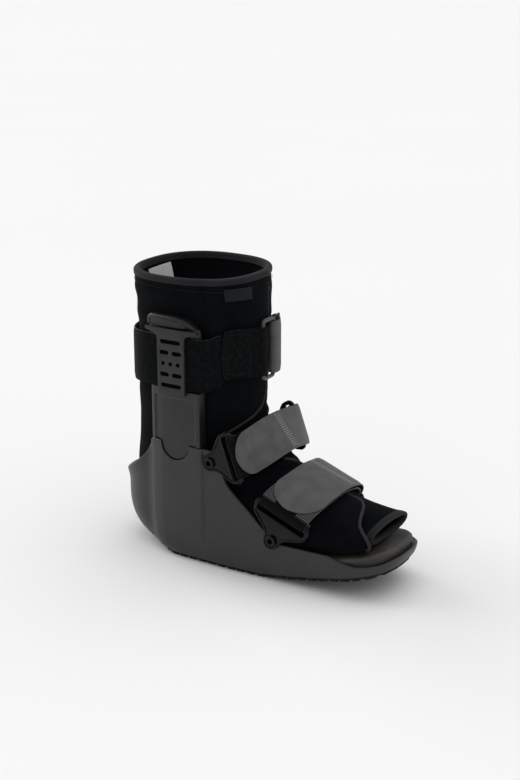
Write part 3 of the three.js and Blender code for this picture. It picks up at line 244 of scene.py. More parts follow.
def unit(vector):
    return vector / (np.linalg.norm(vector) + 1e-9)


def spaced(start, end, steps):
    return [start + (end - start) * i / steps for i in range(steps + 1)]


def curve_of(rows, column=1):
    """A smooth curve through a table's first column and another that never overshoots its rows."""
    xs = [row[0] for row in rows]
    ys = [row[column] for row in rows]
    last = len(xs) - 1
    slopes = [(ys[i + 1] - ys[i]) / (xs[i + 1] - xs[i]) for i in range(last)]
    tangents = [slopes[0]]
    for before, after in zip(slopes, slopes[1:]):
        tangents.append(0 if before * after <= 0 else 2 * before * after / (before + after))
    tangents.append(slopes[-1])

    def curve(x):
        at = clamp(x, xs[0], xs[last])
        i = 0
        while i < last - 1 and xs[i + 1] < at:
            i += 1
        width = xs[i + 1] - xs[i]
        t = (at - xs[i]) / width
        rest = 1 - t
        value = ys[i] * (1 + 2 * t) * rest * rest + tangents[i] * width * t * rest * rest
        return value + ys[i + 1] * t * t * (3 - 2 * t) + tangents[i + 1] * width * t * t * (t - 1)

    return curve


def wobble(point, size, seed=0):
    """Smooth noise from -1 to 1 over a size in millimetres."""
    return noise.noise(Vector(point) / size + Vector((seed * 7.3, seed * 3.1, seed * 5.7)))


# Shader nodes
class Number:
    """A number that shader nodes work out; arithmetic on it adds Math nodes."""

    def __init__(self, finish, socket):
        self.finish = finish
        self.socket = socket

    def math(self, operation, *others):
        sockets = dict(enumerate([self, *others]))
        return self.finish.number("ShaderNodeMath", {"operation": operation}, sockets)

    def __add__(self, other):
        return self.math("ADD", other)

    def __mul__(self, other):
        return self.math("MULTIPLY", other)

    def __rsub__(self, other):
        return self.finish.number("ShaderNodeMath", {"operation": "SUBTRACT"}, {0: other, 1: self})

    __radd__ = __add__
    __rmul__ = __mul__

    def over(self, edge):
        return self.math("GREATER_THAN", edge)

    def between(self, low, high):
        """0 below low, 1 above high and a smooth step between them."""
        settings = {"interpolation_type": "SMOOTHSTEP"}
        return self.finish.number("ShaderNodeMapRange", settings, {"Value": self, 1: low, 2: high})


class Finish:
    """One material. Its patterns are in millimetres."""

    def __init__(self, name, roughness, **constants):
        self.material = bpy.data.materials.new(name)
        self.material.use_nodes = True
        self.tree = self.material.node_tree
        self.shader = self.tree.nodes["Principled BSDF"]
        self.shader.inputs["Roughness"].default_value = roughness
        for key, value in constants.items():
            self.shader.inputs[key.replace("_", " ")].default_value = value
        place = self.node("ShaderNodeTexCoord").outputs["Object"]
        millimetres = self.node("ShaderNodeVectorMath", {"operation": "SCALE"}, {0: place, "Scale": 1000})
        self.place = millimetres.outputs[0]

    def node(self, kind, settings=None, sockets=None):
        node = self.tree.nodes.new(kind)
        for key, value in (settings or {}).items():
            setattr(node, key, value)
        for key, value in (sockets or {}).items():
            self.feed(node.inputs[key], value)
        return node

    def feed(self, socket, value):
        if isinstance(value, Number):
            value = value.socket
        if isinstance(value, bpy.types.NodeSocket):
            self.tree.links.new(value, socket)
        elif hasattr(value, "__len__") and socket.type == "RGBA":
            socket.default_value = (*value, 1)
        else:
            socket.default_value = value

    def number(self, kind, settings=None, sockets=None):
        return Number(self, self.node(kind, settings, sockets).outputs[0])

    def noise(self, size, detail=2.0, place=None, roughness=0.5):
        sockets = {"Vector": place or self.place, "Scale": 1 / size, "Detail": detail, "Roughness": roughness}
        return self.number("ShaderNodeTexNoise", {}, sockets)

    def cells(self, size, place=None, randomness=1.0):
        sockets = {"Vector": place or self.place, "Scale": 1 / size, "Randomness": randomness}
        return self.number("ShaderNodeTexVoronoi", {}, sockets)

    def stretched(self, x, y, z):
        sockets = {0: self.place, 1: (x, y, z)}
        return self.node("ShaderNodeVectorMath", {"operation": "MULTIPLY"}, sockets).outputs[0]

    def woven(self):
        """Places on a strap: along it and across it, in millimetres."""
        return self.node("ShaderNodeUVMap", {"uv_map": "weave"}).outputs[0]

    def parts(self, vector):
        node = self.node("ShaderNodeSeparateXYZ", {}, {0: vector})
        return [Number(self, output) for output in node.outputs]

    def mix(self, share, first, second):
        settings = {"data_type": "RGBA"}
        return self.node("ShaderNodeMix", settings, {0: share, 6: first, 7: second}).outputs[2]

    def paint(self, colour=None, roughness=None, height=None, depth=0.1, strength=1.0):
        if colour is not None:
            self.feed(self.shader.inputs["Base Color"], colour)
        if roughness is not None:
            self.feed(self.shader.inputs["Roughness"], roughness)
        if height is not None:
            sockets = {"Height": height, "Distance": depth / 1000, "Strength": strength}
            bump = self.node("ShaderNodeBump", {}, sockets)
            self.feed(self.shader.inputs["Normal"], bump.outputs[0])
        return self.material


def moulded_plastic(name, dark, light, roughness, grain, specular=0.5):
    """Charcoal plastic with a fine mould grain, cloudy gloss and a few dull scuffs."""
    finish = Finish(name, roughness, Specular_IOR_Level=specular)
    cloud = finish.noise(34, 3)
    scuff = finish.noise(9, 5, roughness=0.7).between(0.6, 0.72)
    # Colour turns lighter in patches towards the bottom, below about 70 mm
    lighter_low_patches = finish.parts(finish.place)[2].between(70, 4) * finish.noise(6, 4).between(0.45, 0.8)
    colour = finish.mix(cloud.between(0.35, 0.65), dark, light)
    colour = finish.mix(scuff * 0.35, colour, tuple(c * 1.9 for c in light))
    colour = finish.mix(lighter_low_patches * 0.3, colour, tuple(c * 2.2 for c in light))
    height = finish.noise(grain, 2) + finish.noise(grain * 5, 2) * 0.6
    gloss = cloud * 0.1 + scuff * 0.12 + (roughness - 0.06)
    return finish.paint(colour, gloss, height, depth=0.1, strength=0.5)


def brushed_cloth(name, dark, light, fuzz):
    """Black brushed knit over foam: fine pile, faint rows and soft darker patches."""
    finish = Finish(name, 0.95, Specular_IOR_Level=0.02, Sheen_Weight=0.03, Sheen_Roughness=0.4)
    pile = finish.noise(0.9, 3, roughness=0.6)
    rows = finish.noise(1.6, 1, finish.stretched(1, 1, 2.4))
    patch = finish.noise(22, 2).between(0.3, 0.7)
    lint = finish.cells(7).between(0.09, 0.03) * finish.noise(4).over(0.56)
    colour = finish.mix(pile * 0.6 + patch * 0.4, dark, light)
    colour = finish.mix(lint * 0.25, colour, tuple(c * 5 for c in light))
    height = pile * 0.6 + rows * 0.4
    return finish.paint(colour, None, height, depth=fuzz, strength=0.8)


def woven_tape(name, dark, light, pitch=1.3):
    """Grosgrain tape: fine ribs both ways."""
    finish = Finish(name, 0.85, Specular_IOR_Level=0.1, Sheen_Weight=0.05)
    x, y, z = finish.parts(finish.place)
    ribs = ((x + y + z * 0.6) * (math.tau / pitch)).math("SINE") * 0.5 + 0.5
    weft = finish.noise(0.7, 2)
    patch = finish.noise(14, 2)
    colour = finish.mix(ribs * 0.35 + weft * 0.35 + patch * 0.3, dark, light)
    return finish.paint(colour, None, ribs * 0.5 + weft * 0.5, depth=0.15, strength=0.7)


def loop_pile(name, dark, light, specks):
    """The fuzzy face of a hook-and-loop strap."""
    finish = Finish(name, 1.0, Specular_IOR_Level=0.02, Sheen_Weight=0.12, Sheen_Roughness=0.3)
    place = finish.woven()
    tuft = finish.cells(1.5, place)
    hair = finish.noise(0.8, 4, place, roughness=0.75)
    clump = finish.noise(5, 3, place).between(0.35, 0.7)
    bright = hair.between(0.52, 0.75) * clump
    colour = finish.mix(bright * specks, dark, light)
    height = hair * 0.6 + (1 - tuft) * 0.4
    return finish.paint(colour, None, height, depth=0.5, strength=0.9)


def smooth_webbing(name, dark, light):
    """The plain face of a strap: tight flat weave with soft wear."""
    finish = Finish(name, 0.62, Specular_IOR_Level=0.4, Sheen_Weight=0.04)
    place = finish.woven()
    along, across, _ = finish.parts(place)
    warp = (along * (math.tau / 1.2)).math("SINE")
    weft = (across * (math.tau / 1.0)).math("SINE")
    cross = warp * weft * 0.5 + 0.5
    wear = finish.noise(12, 4, place)
    fine = finish.noise(1.1, 3, place)
    colour = finish.mix(wear.between(0.3, 0.72) * 0.7 + fine * 0.3, dark, light)
    return finish.paint(colour, wear * 0.12 + 0.56, cross * 0.6 + fine * 0.4, depth=0.07, strength=0.6)


def dotted_mesh(name, dark, light, half_width, from_length, to_length):
    """The toe strap's base: loop pile with a printed dot grid beside its edges for some of its length."""
    finish = Finish(name, 0.95, Specular_IOR_Level=0.03, Sheen_Weight=0.04)
    place = finish.woven()
    along, across, _ = finish.parts(place)
    dots = finish.cells(1.8, place, randomness=0.0).between(0.4, 0.28)
    beside = across.math("ABSOLUTE").between(half_width * 0.42, half_width * 0.5)
    started = along.between(from_length - 1, from_length + 1)
    stretch = started * (1 - along.between(to_length - 1, to_length + 1))
    hair = finish.noise(0.8, 4, place, roughness=0.75)
    colour = finish.mix(hair * 0.3, dark, tuple(c * 2 for c in dark))
    colour = finish.mix(dots * beside * stretch, colour, light)
    return finish.paint(colour, None, hair * 0.7 + dots * 0.3, depth=0.35, strength=0.8)


def rubber(name, dark, light):
    finish = Finish(name, 0.8, Specular_IOR_Level=0.2)
    dust = finish.noise(5, 4).between(0.42, 0.75)
    grain = finish.noise(0.7, 3)
    return finish.paint(finish.mix(dust * 0.7, dark, light), None, grain, depth=0.12, strength=0.6)


def foam(name, dark, light):
    """Brown-black footbed foam with fine pores and a worn, cloudy face."""
    finish = Finish(name, 0.6, Specular_IOR_Level=0.4)
    pores = finish.cells(1.1).between(0.3, 0.12)
    cloud = finish.noise(24, 4)
    colour = finish.mix(cloud.between(0.35, 0.7), dark, light)
    # The pores are painted darker: painted shade inside them
    colour = finish.mix(pores * 0.4, colour, tuple(c * 0.5 for c in dark))
    height = 1 - pores * 0.7 + finish.noise(0.6, 2) * 0.3
    return finish.paint(colour, cloud * 0.15 + 0.5, height, depth=0.12, strength=0.5)


def satin_ribbon(name, dark, light):
    finish = Finish(name, 0.45, Specular_IOR_Level=0.5, Sheen_Weight=0.1)
    threads = finish.noise(0.8, 2, finish.stretched(0.3, 0.3, 2))
    crease = finish.noise(6, 2)
    # Colour follows the threads' own tone and the creases; the creases' part is painted light and shade on
    # the folds
    colour = finish.mix(threads * 0.5 + crease * 0.5, dark, light)
    return finish.paint(colour, None, threads * 0.5 + crease * 1.5, depth=0.15, strength=0.5)


def thread(name, dark, light):
    finish = Finish(name, 0.7, Specular_IOR_Level=0.15)
    twist = finish.noise(0.4, 2)
    return finish.paint(finish.mix(twist, dark, light), None, twist, depth=0.05)


SHELL_PLASTIC = moulded_plastic(
    "shell plastic", (0.0092, 0.0092, 0.0097), (0.0142, 0.0142, 0.0149), roughness=0.45, grain=0.8
)
# A darker copy of the shell's plastic for the uprights, their heads and the keepers: painted shade
SHADED_UPRIGHT_PLASTIC = moulded_plastic(
    "upright plastic with painted shade", (0.006, 0.006, 0.0064), (0.0098, 0.0098, 0.0104),
    roughness=0.45, grain=0.8, specular=0.42,
)
BRACKET_PLASTIC = moulded_plastic(
    "bracket plastic", (0.002, 0.002, 0.0022), (0.0042, 0.0042, 0.0046),
    roughness=0.3, grain=1.2, specular=0.22,
)
RING_PLASTIC = moulded_plastic(
    "ring plastic", (0.05, 0.05, 0.052), (0.07, 0.07, 0.073), roughness=0.4, grain=1.2
)
OUTSOLE_RUBBER = rubber("outsole rubber", (0.008, 0.008, 0.008), (0.02, 0.02, 0.02))
FOOTBED_FOAM = foam("footbed foam", (0.034, 0.031, 0.027), (0.064, 0.058, 0.052))
LINER_CLOTH = brushed_cloth("liner cloth", (0.0022, 0.0026, 0.0032), (0.0052, 0.006, 0.0072), 0.3)
FLAP_CLOTH = brushed_cloth("flap cloth", (0.0022, 0.0024, 0.0032), (0.006, 0.0062, 0.009), 0.35)
RIM_TAPE = woven_tape("rim tape", (0.008, 0.008, 0.009), (0.026, 0.026, 0.029))
EDGE_TAPE = woven_tape("edge tape", (0.014, 0.014, 0.016), (0.045, 0.045, 0.049))
CLOSURE_TAPE = woven_tape("closure tape", (0.006, 0.0065, 0.007), (0.014, 0.015, 0.016), 2.0)
LOOP_FACE = loop_pile("loop face", (0.0045, 0.005, 0.0055), (0.11, 0.11, 0.114), 0.6)
GREY_FACE = smooth_webbing("grey webbing", (0.055, 0.055, 0.057), (0.092, 0.092, 0.095))
OUTER_LABEL_CLOTH = woven_tape("outer label cloth", (0.005, 0.0066, 0.0078), (0.014, 0.018, 0.021), 0.9)
LABEL_SATIN = satin_ribbon("label satin", (0.8, 0.79, 0.78), (0.95, 0.94, 0.93))
GREY_THREAD = thread("grey thread", (0.3, 0.3, 0.31), (0.55, 0.55, 0.56))
BLACK_THREAD = thread("black thread", (0.006, 0.0062, 0.0065), (0.02, 0.02, 0.021))


# Mesh pieces
def finished_piece(name, mesh, finishes, replaces=(), sharp=42):
    for finish in finishes:
        mesh.materials.append(finish)
    mesh.polygons.foreach_set("use_smooth", [True] * len(mesh.polygons))
    mesh.set_sharp_from_angle(angle=math.radians(sharp))
    piece = bpy.data.objects.new(name, mesh)
    bpy.context.scene.collection.objects.link(piece)
    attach(piece, "root")
    if replaces:
        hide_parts(*replaces)
    return piece


def mesh_of(points, faces, weave=None, face_finish=None):
    """A mesh from points in millimetres in the boot's frame, with its faces turned outward."""
    mesh = bpy.data.meshes.new("piece")
    metres = (np.array([tuple(p) for p in points]) + (HEEL_X, 0, 0)) / 1000
    mesh.from_pydata(metres.tolist(), [], faces)
    if face_finish:
        mesh.polygons.foreach_set("material_index", face_finish)
    if weave:
        layer = mesh.uv_layers.new(name="weave")
        corners = np.zeros(len(mesh.loops), np.int32)
        mesh.loops.foreach_get("vertex_index", corners)
        layer.data.foreach_set("uv", np.array(weave, np.float32)[corners].ravel())
    shape = bmesh.new()
    shape.from_mesh(mesh)
    bmesh.ops.recalc_face_normals(shape, faces=shape.faces)
    shape.to_mesh(mesh)
    shape.free()
    return mesh


def ring_faces(rings, count, looped=False):
    faces = []
    for r in range(rings if looped else rings - 1):
        following = (r + 1) % rings
        for i in range(count):
            j = (i + 1) % count
            faces.append((r * count + i, r * count + j, following * count + j, following * count + i))
    return faces


def ladder_faces(start, count):
    """Closes a ring whose second half mirrors its first."""
    faces = []
    for i in range((count + 1) // 2):
        corners = [start + i, start + i + 1, start + count - i - 1, start + (count - i) % count]
        corners = list(dict.fromkeys(corners))
        if len(corners) > 2:
            faces.append(tuple(corners))
    return faces


def strip_faces(start, count):
    """Closes a ring between its first half and its second, run back."""
    return [
        (start + i, start + i + 1, start + count - 2 - i, start + count - 1 - i)
        for i in range(count // 2 - 1)
    ]


def loft(rings, ends=None, looped=False):
    count = len(rings[0])
    points = [p for ring in rings for p in ring]
    faces = ring_faces(len(rings), count, looped)
    if ends:
        faces += ends(0, count) + ends((len(rings) - 1) * count, count)
    return points, faces


def fan_faces(start, count):
    return [tuple(start + i for i in range(count))]


def joined(*shapes):
    points, faces = [], []
    for more_points, more_faces in shapes:
        base = len(points)
        points += list(more_points)
        faces += [tuple(i + base for i in face) for face in more_faces]
    return points, faces


# The shell's surfaces
plan_share, rocker_share = curve_of(PLAN), curve_of(ROCKER)
heel_edge, front_edge = curve_of(HEEL_EDGE), curve_of(FRONT_EDGE)
upright_back = UPRIGHT_CENTRE - UPRIGHT_WIDTH / 2
upright_front = UPRIGHT_CENTRE + UPRIGHT_WIDTH / 2


def cap_share(distance, length, power):
    if distance >= length:
        return 1.0
    return max(1 - ((length - distance) / length) ** power, 0) ** (1 / power)


def shell_half_width(x):
    heel = cap_share(clamp(x, 0, SHELL_LENGTH), HEEL_LENGTH, 2.1)
    toe = cap_share(clamp(SHELL_LENGTH - x, 0, SHELL_LENGTH), TOE_LENGTH, 2.6)
    return SHELL_WIDTH / 2 * plan_share(x / SHELL_LENGTH) * heel * toe


def underside(x):
    return OUTSOLE_THICKNESS + TOE_SPRING * rocker_share(x / SHELL_LENGTH)


def floor_top(x):
    return underside(x) + SHELL_FLOOR


def footbed_top(x):
    return floor_top(x) + GAP + FOOTBED_THICKNESS


def parting_height(x, clearance):
    radius = NOTCH_RADIUS - clearance
    inside = radius ** 2 - (x - UPRIGHT_CENTRE) ** 2
    return SHOULDER_HEIGHT + clearance - (math.sqrt(inside) + clearance if inside > 0 else 0)


def shell_edge(x):
    if x < upright_back:
        return SHOULDER_HEIGHT * heel_edge(x / upright_back)
    if x <= upright_front:
        return parting_height(x, 0)
    return SHOULDER_HEIGHT * front_edge((x - upright_front) / (SHELL_LENGTH - upright_front))


def pocket_relief(x, z):
    reach = UPRIGHT_WIDTH / 2 + POCKET_RAMP - abs(x - UPRIGHT_CENTRE)
    return POCKET_RELIEF * ease(reach, 0, POCKET_RAMP) * ease(z, POCKET_FOOT, POCKET_FOOT * 1.8)


def wall_inset(x, z):
    heel = 1 - ease(x, HEEL_LENGTH * 0.4, HEEL_LENGTH * 1.8)
    rounding = SIDE_ROUNDING + (HEEL_ROUNDING - SIDE_ROUNDING) * heel
    height = SIDE_ROUND_HEIGHT + (HEEL_ROUND_HEIGHT - SIDE_ROUND_HEIGHT) * heel
    below = clamp(1 - (z - underside(x)) / height, 0, 1)
    flare = HEEL_FLARE * heel * ease(z, shell_edge(x) - 14, shell_edge(x))
    return rounding * (1 - math.sqrt(1 - below * below)) - flare


def side_stations(fine=1.0):
    heel = [HEEL_LENGTH * (1 - math.cos(math.radians(a))) for a in spaced(0, 90, int(22 * fine))]
    notch = [UPRIGHT_CENTRE + NOTCH_RADIUS * turned(a)[0] for a in spaced(180, 0, int(26 * fine))]
    front = spaced(upright_front + POCKET_RAMP, SHELL_LENGTH - TOE_LENGTH, int(70 * fine))
    toe = [
        SHELL_LENGTH - TOE_LENGTH * (1 - math.sin(math.radians(a))) for a in spaced(0, 90, int(26 * fine))
    ]
    ramps = spaced(upright_back - POCKET_RAMP, upright_back, 5)
    ramps += spaced(upright_front, upright_front + POCKET_RAMP, 5)
    plain = spaced(upright_back, UPRIGHT_CENTRE - NOTCH_RADIUS - 0.2, 5)
    plain += spaced(UPRIGHT_CENTRE + NOTCH_RADIUS + 0.2, upright_front, 5)
    stations = []
    for x in sorted(heel + notch + front + toe + ramps + plain):
        if not stations or x - stations[-1] > 0.12:
            stations.append(x)
    return stations


def plan_ring(stations, inset, height, relief=0):
    """A closed ring round the shell's plan, drawn in by an inset and lifted to a height."""
    side = []
    for x in stations:
        before, after = max(x - 0.05, 0), min(x + 0.05, SHELL_LENGTH)
        slope = (shell_half_width(after) - shell_half_width(before)) / (after - before)
        length = math.hypot(slope, 1)
        end = x <= 0 or x >= SHELL_LENGTH
        across = (-1 if x <= 0 else 1, 0) if end else (-slope / length, 1 / length)
        out = relief * pocket_relief(x, height(x)) - inset(x, height(x))
        y = 0 if end else max(shell_half_width(x) + across[1] * out, 0.3)
        along = x + across[0] * out
        side.append((along, -y, height(clamp(along, 0, SHELL_LENGTH))))
    return side + [(x, -y, z) for x, y, z in reversed(side[1:-1])]


def shell():
    stations = side_stations()

    def between(low, high, share):
        return lambda x: low(x) + (high(x) - low(x)) * share

    def round_top(x):
        return underside(x) + min(HEEL_ROUND_HEIGHT, (shell_edge(x) - underside(x)) * 0.7)

    def drawn_in(extra):
        return lambda x, z: wall_inset(x, z) + extra

    def below_edge(drop):
        return lambda x: shell_edge(x) - drop

    rings = [
        plan_ring(stations, wall_inset, between(underside, round_top, share), 1)
        for share in (0, 0.015, 0.04, 0.08, 0.13, 0.19, 0.27, 0.37, 0.5, 0.65, 0.82, 1)
    ]
    rings += [
        plan_ring(stations, wall_inset, between(round_top, below_edge(2.5), share), 1)
        for share in (0.14, 0.3, 0.46, 0.62, 0.78, 0.9, 1)
    ]
    rim = [(1, 0), (0.45, 0.15), (0.12, 0.5), (0, 1), (0, 2), (0.12, 2.5), (0.45, 2.85), (1, 3)]
    rings += [plan_ring(stations, drawn_in(inset), below_edge(drop), 1) for drop, inset in rim]
    rings += [
        plan_ring(stations, drawn_in(SHELL_WALL), between(floor_top, below_edge(1.5), share), 1)
        for share in (0.95, 0.8, 0.6, 0.4, 0.2, 0.05, 0)
    ]
    mesh = mesh_of(*loft(rings, ladder_faces))
    return finished_piece("shell_moulding", mesh, [SHELL_PLASTIC], ["shell"])


def outsole():
    start = HEEL_LENGTH * 0.1
    bars = int((SHELL_LENGTH - 2 * start) // TREAD_PITCH)
    stations = [0, 1, 2, 3]
    for i in range(bars + 1):
        x = start + i * TREAD_PITCH
        stations += [x + TREAD_PITCH * s for s in (0, 0.04, 0.3, 0.36, 0.4, 0.65, 0.9, 0.94)]
    stations = [x for x in stations if x < SHELL_LENGTH - 1] + [SHELL_LENGTH - 0.5, SHELL_LENGTH]

    def inset(extra):
        return lambda x, z: wall_inset(x, underside(x)) + OUTSOLE_INSET - 1 + extra

    def groove(x):
        phase = (x - start) % TREAD_PITCH
        return TREAD_DEPTH if phase < TREAD_PITCH * 0.33 and x > start else 0

    def ground(lift):
        return lambda x: underside(x) - OUTSOLE_THICKNESS + groove(x) + lift

    rings = [
        plan_ring(stations, inset(0), lambda x: underside(x) - GAP),
        plan_ring(stations, inset(0), ground(1.2)),
        plan_ring(stations, inset(0.25), ground(0.4)),
        plan_ring(stations, inset(0.8), ground(0)),
    ]
    mesh = mesh_of(*loft(rings, ladder_faces))
    return finished_piece("tread_sole", mesh, [OUTSOLE_RUBBER], ["outsole"], sharp=30)


def footbed():
    stations = side_stations(0.7)

    def inset(extra):
        return lambda x, z: wall_inset(x, floor_top(x)) + SHELL_WALL + FOOTBED_CLEARANCE + extra

    def height(drop):
        return lambda x: footbed_top(x) - drop

    profile = [(FOOTBED_THICKNESS, 0), (5, 0), (FOOTBED_CHAMFER + 0.4, 0), (FOOTBED_CHAMFER - 0.2, 0.15)]
    profile += [(0.5, FOOTBED_CHAMFER * 0.8), (0.12, FOOTBED_CHAMFER * 1.05), (0, FOOTBED_CHAMFER * 1.4)]
    profile.append((0, 6))
    rings = [plan_ring(stations, inset(extra), height(drop)) for drop, extra in profile]
    mesh = mesh_of(*loft(rings, ladder_faces))
    return finished_piece("footbed_pad", mesh, [FOOTBED_FOAM], ["footbed"])


# The leg's own section and what stands on it
def leg_base(x, offset):
    along = clamp(abs(x - LEG_CENTRE) / (LEG_DEPTH / 2 + offset), 0, 1)
    return (LEG_WIDTH / 2 + offset) * (1 - along ** LEG_POWER) ** (1 / LEG_POWER)


def upright_inner(x):
    return leg_base(x, GAP)


def channel_face(x):
    return upright_inner(x) + UPRIGHT_THICKNESS


def shell_face(x):
    return shell_half_width(x) + POCKET_RELIEF


channel_foot = CALF_STRAP_HEIGHT - CALF_STRAP_WIDTH / 2 - 0.6


def edge_round(distance, radius):
    """How far a rounded edge falls away at a distance from it."""
    if distance >= radius:
        return 0.0
    return radius - math.sqrt(max(radius ** 2 - (radius - max(distance, 0)) ** 2, 0))


def head_crown(a, half):
    """Height of the head's top edge, which falls a little towards the front."""
    return UPRIGHT_TOP - 3 * ease(a, -half * 0.2, half)


def head_outline(a, z, half):
    """Distance inside the head's outline, a rectangle with a wide front corner and a tight back one."""
    corner = HEAD_FRONT_CORNER if a > 0 else HEAD_BACK_CORNER
    from_side = half - abs(a)
    from_top = head_crown(a, half) - z
    if from_side < corner and from_top < corner:
        return corner - math.hypot(corner - from_side, corner - from_top)
    return min(from_side, from_top)


def head_top(a, half):
    corner = HEAD_FRONT_CORNER if a > 0 else HEAD_BACK_CORNER
    return head_crown(a, half) - edge_round(half - abs(a), corner)


def upright(side, name):
    half = UPRIGHT_WIDTH / 2 - GAP
    notch = [(NOTCH_RADIUS - GAP) * turned(a)[0] for a in spaced(180, 0, 24)]
    border = half - PANEL_BORDER
    edges = [half - s for s in (0, 0.15, 0.5, 1, 1.8, 3)] + [border + s for s in (1, 0.4, -0.4)]
    across = sorted(notch + edges + [-a for a in edges] + spaced(-border + 1, border - 1, 22))
    stations = [a for i, a in enumerate(across) if i == 0 or a - across[i - 1] > 0.12]
    lip = HEAD_BASE + KEEPER_LIP
    rings = []
    for a in stations:
        x = UPRIGHT_CENTRE + a
        foot = parting_height(x, GAP)
        top = head_top(a, half)
        levels = [foot + (PANEL_TOP - 2 - foot) * s for s in (0, 0.008, 0.02, 0.05, 0.12, 0.3, 0.55, 0.8, 1)]
        levels += [PANEL_TOP - 1, PANEL_TOP - 0.3, PANEL_TOP + 0.4, PANEL_TOP + 1.2, channel_foot - 3]
        levels += [channel_foot - 1.2, channel_foot - 0.5, channel_foot, channel_foot + 8, 197, 210]
        levels += [HEAD_BASE - 1.5, HEAD_BASE - 0.8, HEAD_BASE, HEAD_BASE + 1.5, lip - 0.6, lip + 0.2]
        start = lip + 0.8
        span = max(top - start, 0.4)
        levels += [start + span * s for s in (0, 0.25, 0.45, 0.62, 0.75, 0.85, 0.92, 0.97, 0.99, 1)]
        inner = upright_inner(x)
        outer = []
        for z in levels:
            from_side = half - abs(a)
            if z <= channel_foot - 0.4:
                into_panel = min(from_side - PANEL_BORDER, PANEL_TOP - z)
                out = shell_face(x) - PANEL_DEPTH * ease(into_panel, -0.5, 0.7)
                out -= edge_round(from_side, 1.0) + edge_round(z - foot, 1.1)
            elif z <= HEAD_BASE - 0.7:
                out = channel_face(x) - edge_round(from_side, 0.8)
            else:
                inside = head_outline(a, z, half)
                recess = HEAD_RECESS * ease(inside, 2.2, 4.5) - 0.6 * ease(inside, 6, 16)
                seat = 3.2 * (1 - ease(z, lip - 0.8, lip + 1.6))
                out = inner + HEAD_THICKNESS - max(recess, seat) - edge_round(inside, 3)
            outer.append((x, side * out, z))
        under = min(inner, shell_half_width(x) + POCKET_RELIEF - SHELL_WALL - GAP)
        back = [(inner + 0.2, top), (inner, top - 0.8), (inner, 200), (inner, foot + 4)]
        back += [(under - 1.6, foot - 14), (under, foot - 14), (under, foot)]
        rings.append(outer + [(x, side * out, z) for out, z in back])
    mesh = mesh_of(*loft(rings, fan_faces))
    return finished_piece(
        f"upright_plate_{name}", mesh, [SHADED_UPRIGHT_PLASTIC], [f"upright_{name}"], 50
    )


# Flat plates with holes
def arc(x, y, radius, start, end, steps):
    return [(x + radius * turned(a)[0], y + radius * turned(a)[1]) for a in spaced(start, end, steps)]


def bezier(a, b, c, d, steps):
    points = []
    for t in spaced(0, 1, steps):
        shares = ((1 - t) ** 3, 3 * t * (1 - t) ** 2, 3 * t * t * (1 - t), t ** 3)
        points.append(tuple(sum(s * p[k] for s, p in zip(shares, (a, b, c, d))) for k in (0, 1)))
    return points


def stadium(x, y, length, width, steps=8):
    half = (length - width) / 2
    right = arc(x + half, y, width / 2, -90, 90, steps)
    left = arc(x - half, y, width / 2, 90, 270, steps)
    return right + left


def window(x, y, half_length, half_width, corner):
    corners = [(1, -1, -90), (1, 1, 0), (-1, 1, 90), (-1, -1, 180)]
    points = []
    for sx, sy, start in corners:
        centre = (x + sx * (half_length - corner), y + sy * (half_width - corner))
        points += arc(*centre, corner, start, start + 90, 4)
    return points


def plate_mesh(outline, holes, thickness, bevel, cuts=()):
    """A plate in its own plane, with bevelled edges; cuts are places along X where it can bend."""
    shape = bmesh.new()
    for path in [outline, *holes]:
        kept = [p for i, p in enumerate(path) if math.dist(p, path[i - 1]) > 0.02]
        corners = [shape.verts.new((px, py, -thickness / 2)) for px, py in kept]
        for first, second in zip(corners, corners[1:] + corners[:1]):
            shape.edges.new((first, second))
    bmesh.ops.triangle_fill(shape, use_beauty=True, use_dissolve=False, edges=shape.edges)
    bmesh.ops.dissolve_limit(shape, angle_limit=0.01, verts=shape.verts, edges=shape.edges)
    raised = bmesh.ops.extrude_face_region(shape, geom=list(shape.faces))["geom"]
    lifted = [item for item in raised if isinstance(item, bmesh.types.BMVert)]
    bmesh.ops.translate(shape, vec=(0, 0, thickness), verts=lifted)
    bmesh.ops.recalc_face_normals(shape, faces=shape.faces)
    sharp = [e for e in shape.edges if len(e.link_faces) == 2 and e.calc_face_angle() > 1.2]
    bmesh.ops.bevel(
        shape, geom=sharp, offset=bevel, segments=3, profile=0.5, affect="EDGES", clamp_overlap=True
    )
    for cut in cuts:
        geometry = list(shape.verts) + list(shape.edges) + list(shape.faces)
        bmesh.ops.bisect_plane(shape, geom=geometry, plane_co=(cut, 0, 0), plane_no=(1, 0, 0))
    return shape


def placed_plate(shape, place):
    """Moves a plate's points by a function into the boot's frame and gives its mesh."""
    for vertex in shape.verts:
        x, y, z = place(*vertex.co)
        vertex.co = ((x + HEEL_X) / 1000, y / 1000, z / 1000)
    bmesh.ops.recalc_face_normals(shape, faces=shape.faces)
    mesh = bpy.data.meshes.new("plate")
    shape.to_mesh(mesh)
    shape.free()
    return mesh


keeper_back = channel_face(UPRIGHT_CENTRE) + STRAP_THICKNESS + 4.4 * GAP


